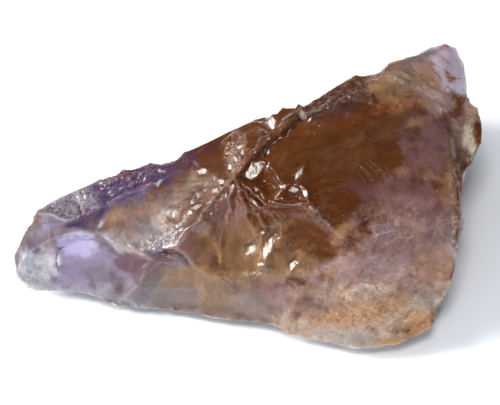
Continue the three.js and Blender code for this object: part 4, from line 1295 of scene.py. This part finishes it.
class StageSettings(bpy.types.PropertyGroup):
    """The floor, the lights and the camera."""

    floor_size: length_property("Floor size", "Side of the floor", 3.0)
    key_power: power_property("Key light", "Power of the light on the left", 0.74)
    softbox_power: power_property("Softbox", "Power of the wide light behind the key", 0.5)
    lamp_power: power_property("Lamp", "Power of the small light overhead", 0.45)
    front_power: power_property("Front light", "Power of the soft light in front", 1.22)
    above_power: power_property("Top light", "Power of the soft light above", 0.37)
    sky: FloatProperty(name="Sky", description="Brightness of the surroundings", default=0.12, min=0.0)
    lens: FloatProperty(name="Lens", description="Focal length", subtype="DISTANCE_CAMERA", default=216.0)


def zone_fields(carving):
    """The strength of each kind of zone at each point. The foot is neither sugary nor hackled."""
    wander = stray_at(carving.points, 2 * MM, (3, 8))
    fields = {
        name: zones_at(zones, carving.pixels + stray * wander, softness)
        for name, (zones, stray, softness) in ZONE_FIELDS.items()
    }
    on_foot = carving.points[:, 2] < BARE_HEIGHT
    fields["hackles"] *= carving.facing
    fields["sugar"][on_foot] = fields["hackles"][on_foot] = 0
    fields["flow"] = flow_at(carving.pixels)
    return fields


def relief_of(carving, fields, settings):
    """How far the finish lifts each point: waves, crumbs, facets, chipped edges, hackles and ripples."""
    points = carving.points
    waves = noise_at(points, 3 * MM, seed=13, octaves=2)
    crumbs = chipped_at(points, 0.55 * MM, seed=5) + 0.5 * chipped_at(points, 1.1 * MM, seed=9)
    facets = chipped_at(points, 0.42 * MM, seed=43)
    chips = 0.6 * chipped_at(points, 0.9 * MM, seed=27) + noise_at(points, 0.7 * MM, seed=31)
    crests = 0.5 - np.abs(noise_at(fields["flow"] * HACKLE_LUMPS, 1, seed=17))
    relief = waves * settings.wave_height
    relief += crumbs * fields["sugar"] * settings.sugar_height
    relief += facets * fields["crushed"] * settings.crush_height
    relief += chips * rugged_at(carving.pixels) * settings.rugged_height
    relief += crests * fields["hackles"] * settings.hackle_height
    relief += ripples_at(points) * carving.facing_away * settings.ripple_height
    relief *= 1 - OUTLINE_CALM * carving.at_outline
    return np.where(points[:, 2] < BARE_HEIGHT, 0, relief)


class AMETRINE_OT_stone(bpy.types.Operator):
    """Finish the stone's surface over its plain solid, and give it its quartz"""

    bl_idname = "ametrine.stone"
    bl_label = "Stone"

    def execute(self, context):
        settings = context.scene.ametrine_quartz
        stone = copy_of_cad_stone()
        flow_together(stone)
        apply_modifier(stone, "SUBSURF", levels=2, render_levels=2)

        carving = Carving(stone)
        fields = zone_fields(carving)
        carving.lift(relief_of(carving, fields, settings))
        for _, path, width, height in CARVED:
            carving.carve(path, width, height)
        carving.apply()
        fields["scar"] = np.max([carving.scar(*scar) for _, *scar in SCARS], axis=0)
        fields["colour"] = colours_at(carving, context.scene.ametrine_colours)
        carving.apply()

        fields["crushed"] = np.maximum(fields["crushed"], CRUSHED_SUGAR * fields["sugar"])
        fields["ridge"] = sharpness_of(stone.data)
        for name, (_, _, strokes) in STROKES.items():
            fields[name] = strokes_at(strokes, carving)
        for name, values in fields.items():
            store(stone.data, name, values)
        stone.data.materials.append(quartz_material(settings))
        make_active(stone)
        bpy.ops.object.shade_smooth_by_angle(angle=SMOOTH_ANGLE)
        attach(stone, "root")
        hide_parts(CAD_NODE)
        return {"FINISHED"}


# The lights: the place, the side of the square, the colour, and whether they show in the stone's gloss. The
# softbox stands behind the key, as seen from the stone.
LIGHTS = {
    "key": (KEY_PLACE, 0.09, (1.0, 0.985, 0.95), True),
    "lamp": (LAMP_PLACE, 0.08, (1.0, 0.99, 0.96), True),
    "softbox": (np.multiply(KEY_PLACE, 1.15), 0.26, (1.0, 0.98, 0.95), True),
    "front": ((-0.12, -0.40, 0.22), 0.4, (0.78, 0.88, 1.0), False),
    "above": ((0.0, 0.05, 0.5), 0.6, (0.78, 0.88, 1.0), False),
}
PAPER = (0.92, 0.93, 0.95, 1.0)
PAPER_ROUGHNESS = 0.9
SKY = (0.72, 0.84, 1.0, 1.0)


def area_light(name, place, size, colour, power):
    """A square light that looks at the stone."""
    bpy.ops.object.light_add(type="AREA", location=place)
    light = bpy.context.object
    light.name = name
    light.data.size = size
    light.data.energy = power
    light.data.color = colour
    light.rotation_euler = (Vector(LIGHTS_AIM) - Vector(place)).to_track_quat("-Z", "Y").to_euler()
    return light


class AMETRINE_OT_stage(bpy.types.Operator):
    """Set the stone on a pale floor, light it and place the camera at the photo's view"""

    bl_idname = "ametrine.stage"
    bl_label = "Stage"

    def execute(self, context):
        settings = context.scene.ametrine_stage
        deselect_all()
        bpy.ops.mesh.primitive_plane_add(size=settings.floor_size)
        floor = context.object
        floor.name = "floor"
        paper = bpy.data.materials.new("paper")
        paper.use_nodes = True
        surface = paper.node_tree.nodes["Principled BSDF"].inputs
        surface["Base Color"].default_value = PAPER
        surface["Roughness"].default_value = PAPER_ROUGHNESS
        floor.data.materials.append(paper)

        for name, (place, size, colour, glossy) in LIGHTS.items():
            light = area_light(name, place, size, colour, getattr(settings, f"{name}_power"))
            light.visible_glossy = glossy

        world = bpy.data.worlds.new("studio")
        world.use_nodes = True
        background = world.node_tree.nodes["Background"].inputs
        background["Color"].default_value = SKY
        background["Strength"].default_value = settings.sky
        context.scene.world = world
        context.scene.view_settings.view_transform = "Standard"

        bpy.ops.object.camera_add(location=EYE, rotation=(pi / 2 - VIEW_ELEVATION, 0, 0))
        camera = context.object
        camera.name = "camera"
        camera.data.lens = settings.lens
        camera.data.clip_start = 0.01
        context.scene.camera = camera
        return {"FINISHED"}


class AMETRINE_PT_panel(bpy.types.Panel):
    """Lists the steps and their settings"""

    bl_label = "Rough Ametrine"
    bl_idname = "AMETRINE_PT_panel"
    bl_space_type = "VIEW_3D"
    bl_region_type = "UI"
    bl_category = "Ametrine"

    def draw(self, context):
        for operator, settings in (
            (AMETRINE_OT_stone, context.scene.ametrine_quartz),
            (None, context.scene.ametrine_colours),
            (AMETRINE_OT_stage, context.scene.ametrine_stage),
        ):
            box = self.layout.box()
            for name in type(settings).__annotations__:
                box.prop(settings, name)
            if operator:
                box.operator(operator.bl_idname)


CLASSES = (
    QuartzColours, QuartzSettings, StageSettings, AMETRINE_OT_stone, AMETRINE_OT_stage, AMETRINE_PT_panel,
)


def register():
    for each in CLASSES:
        bpy.utils.register_class(each)
    bpy.types.Scene.ametrine_colours = PointerProperty(type=QuartzColours)
    bpy.types.Scene.ametrine_quartz = PointerProperty(type=QuartzSettings)
    bpy.types.Scene.ametrine_stage = PointerProperty(type=StageSettings)


def unregister():
    del bpy.types.Scene.ametrine_stage
    del bpy.types.Scene.ametrine_quartz
    del bpy.types.Scene.ametrine_colours
    for each in reversed(CLASSES):
        bpy.utils.unregister_class(each)


def main():
    register()
    bpy.ops.ametrine.stone()
    bpy.ops.ametrine.stage()


if __name__ == "__main__":
    main()
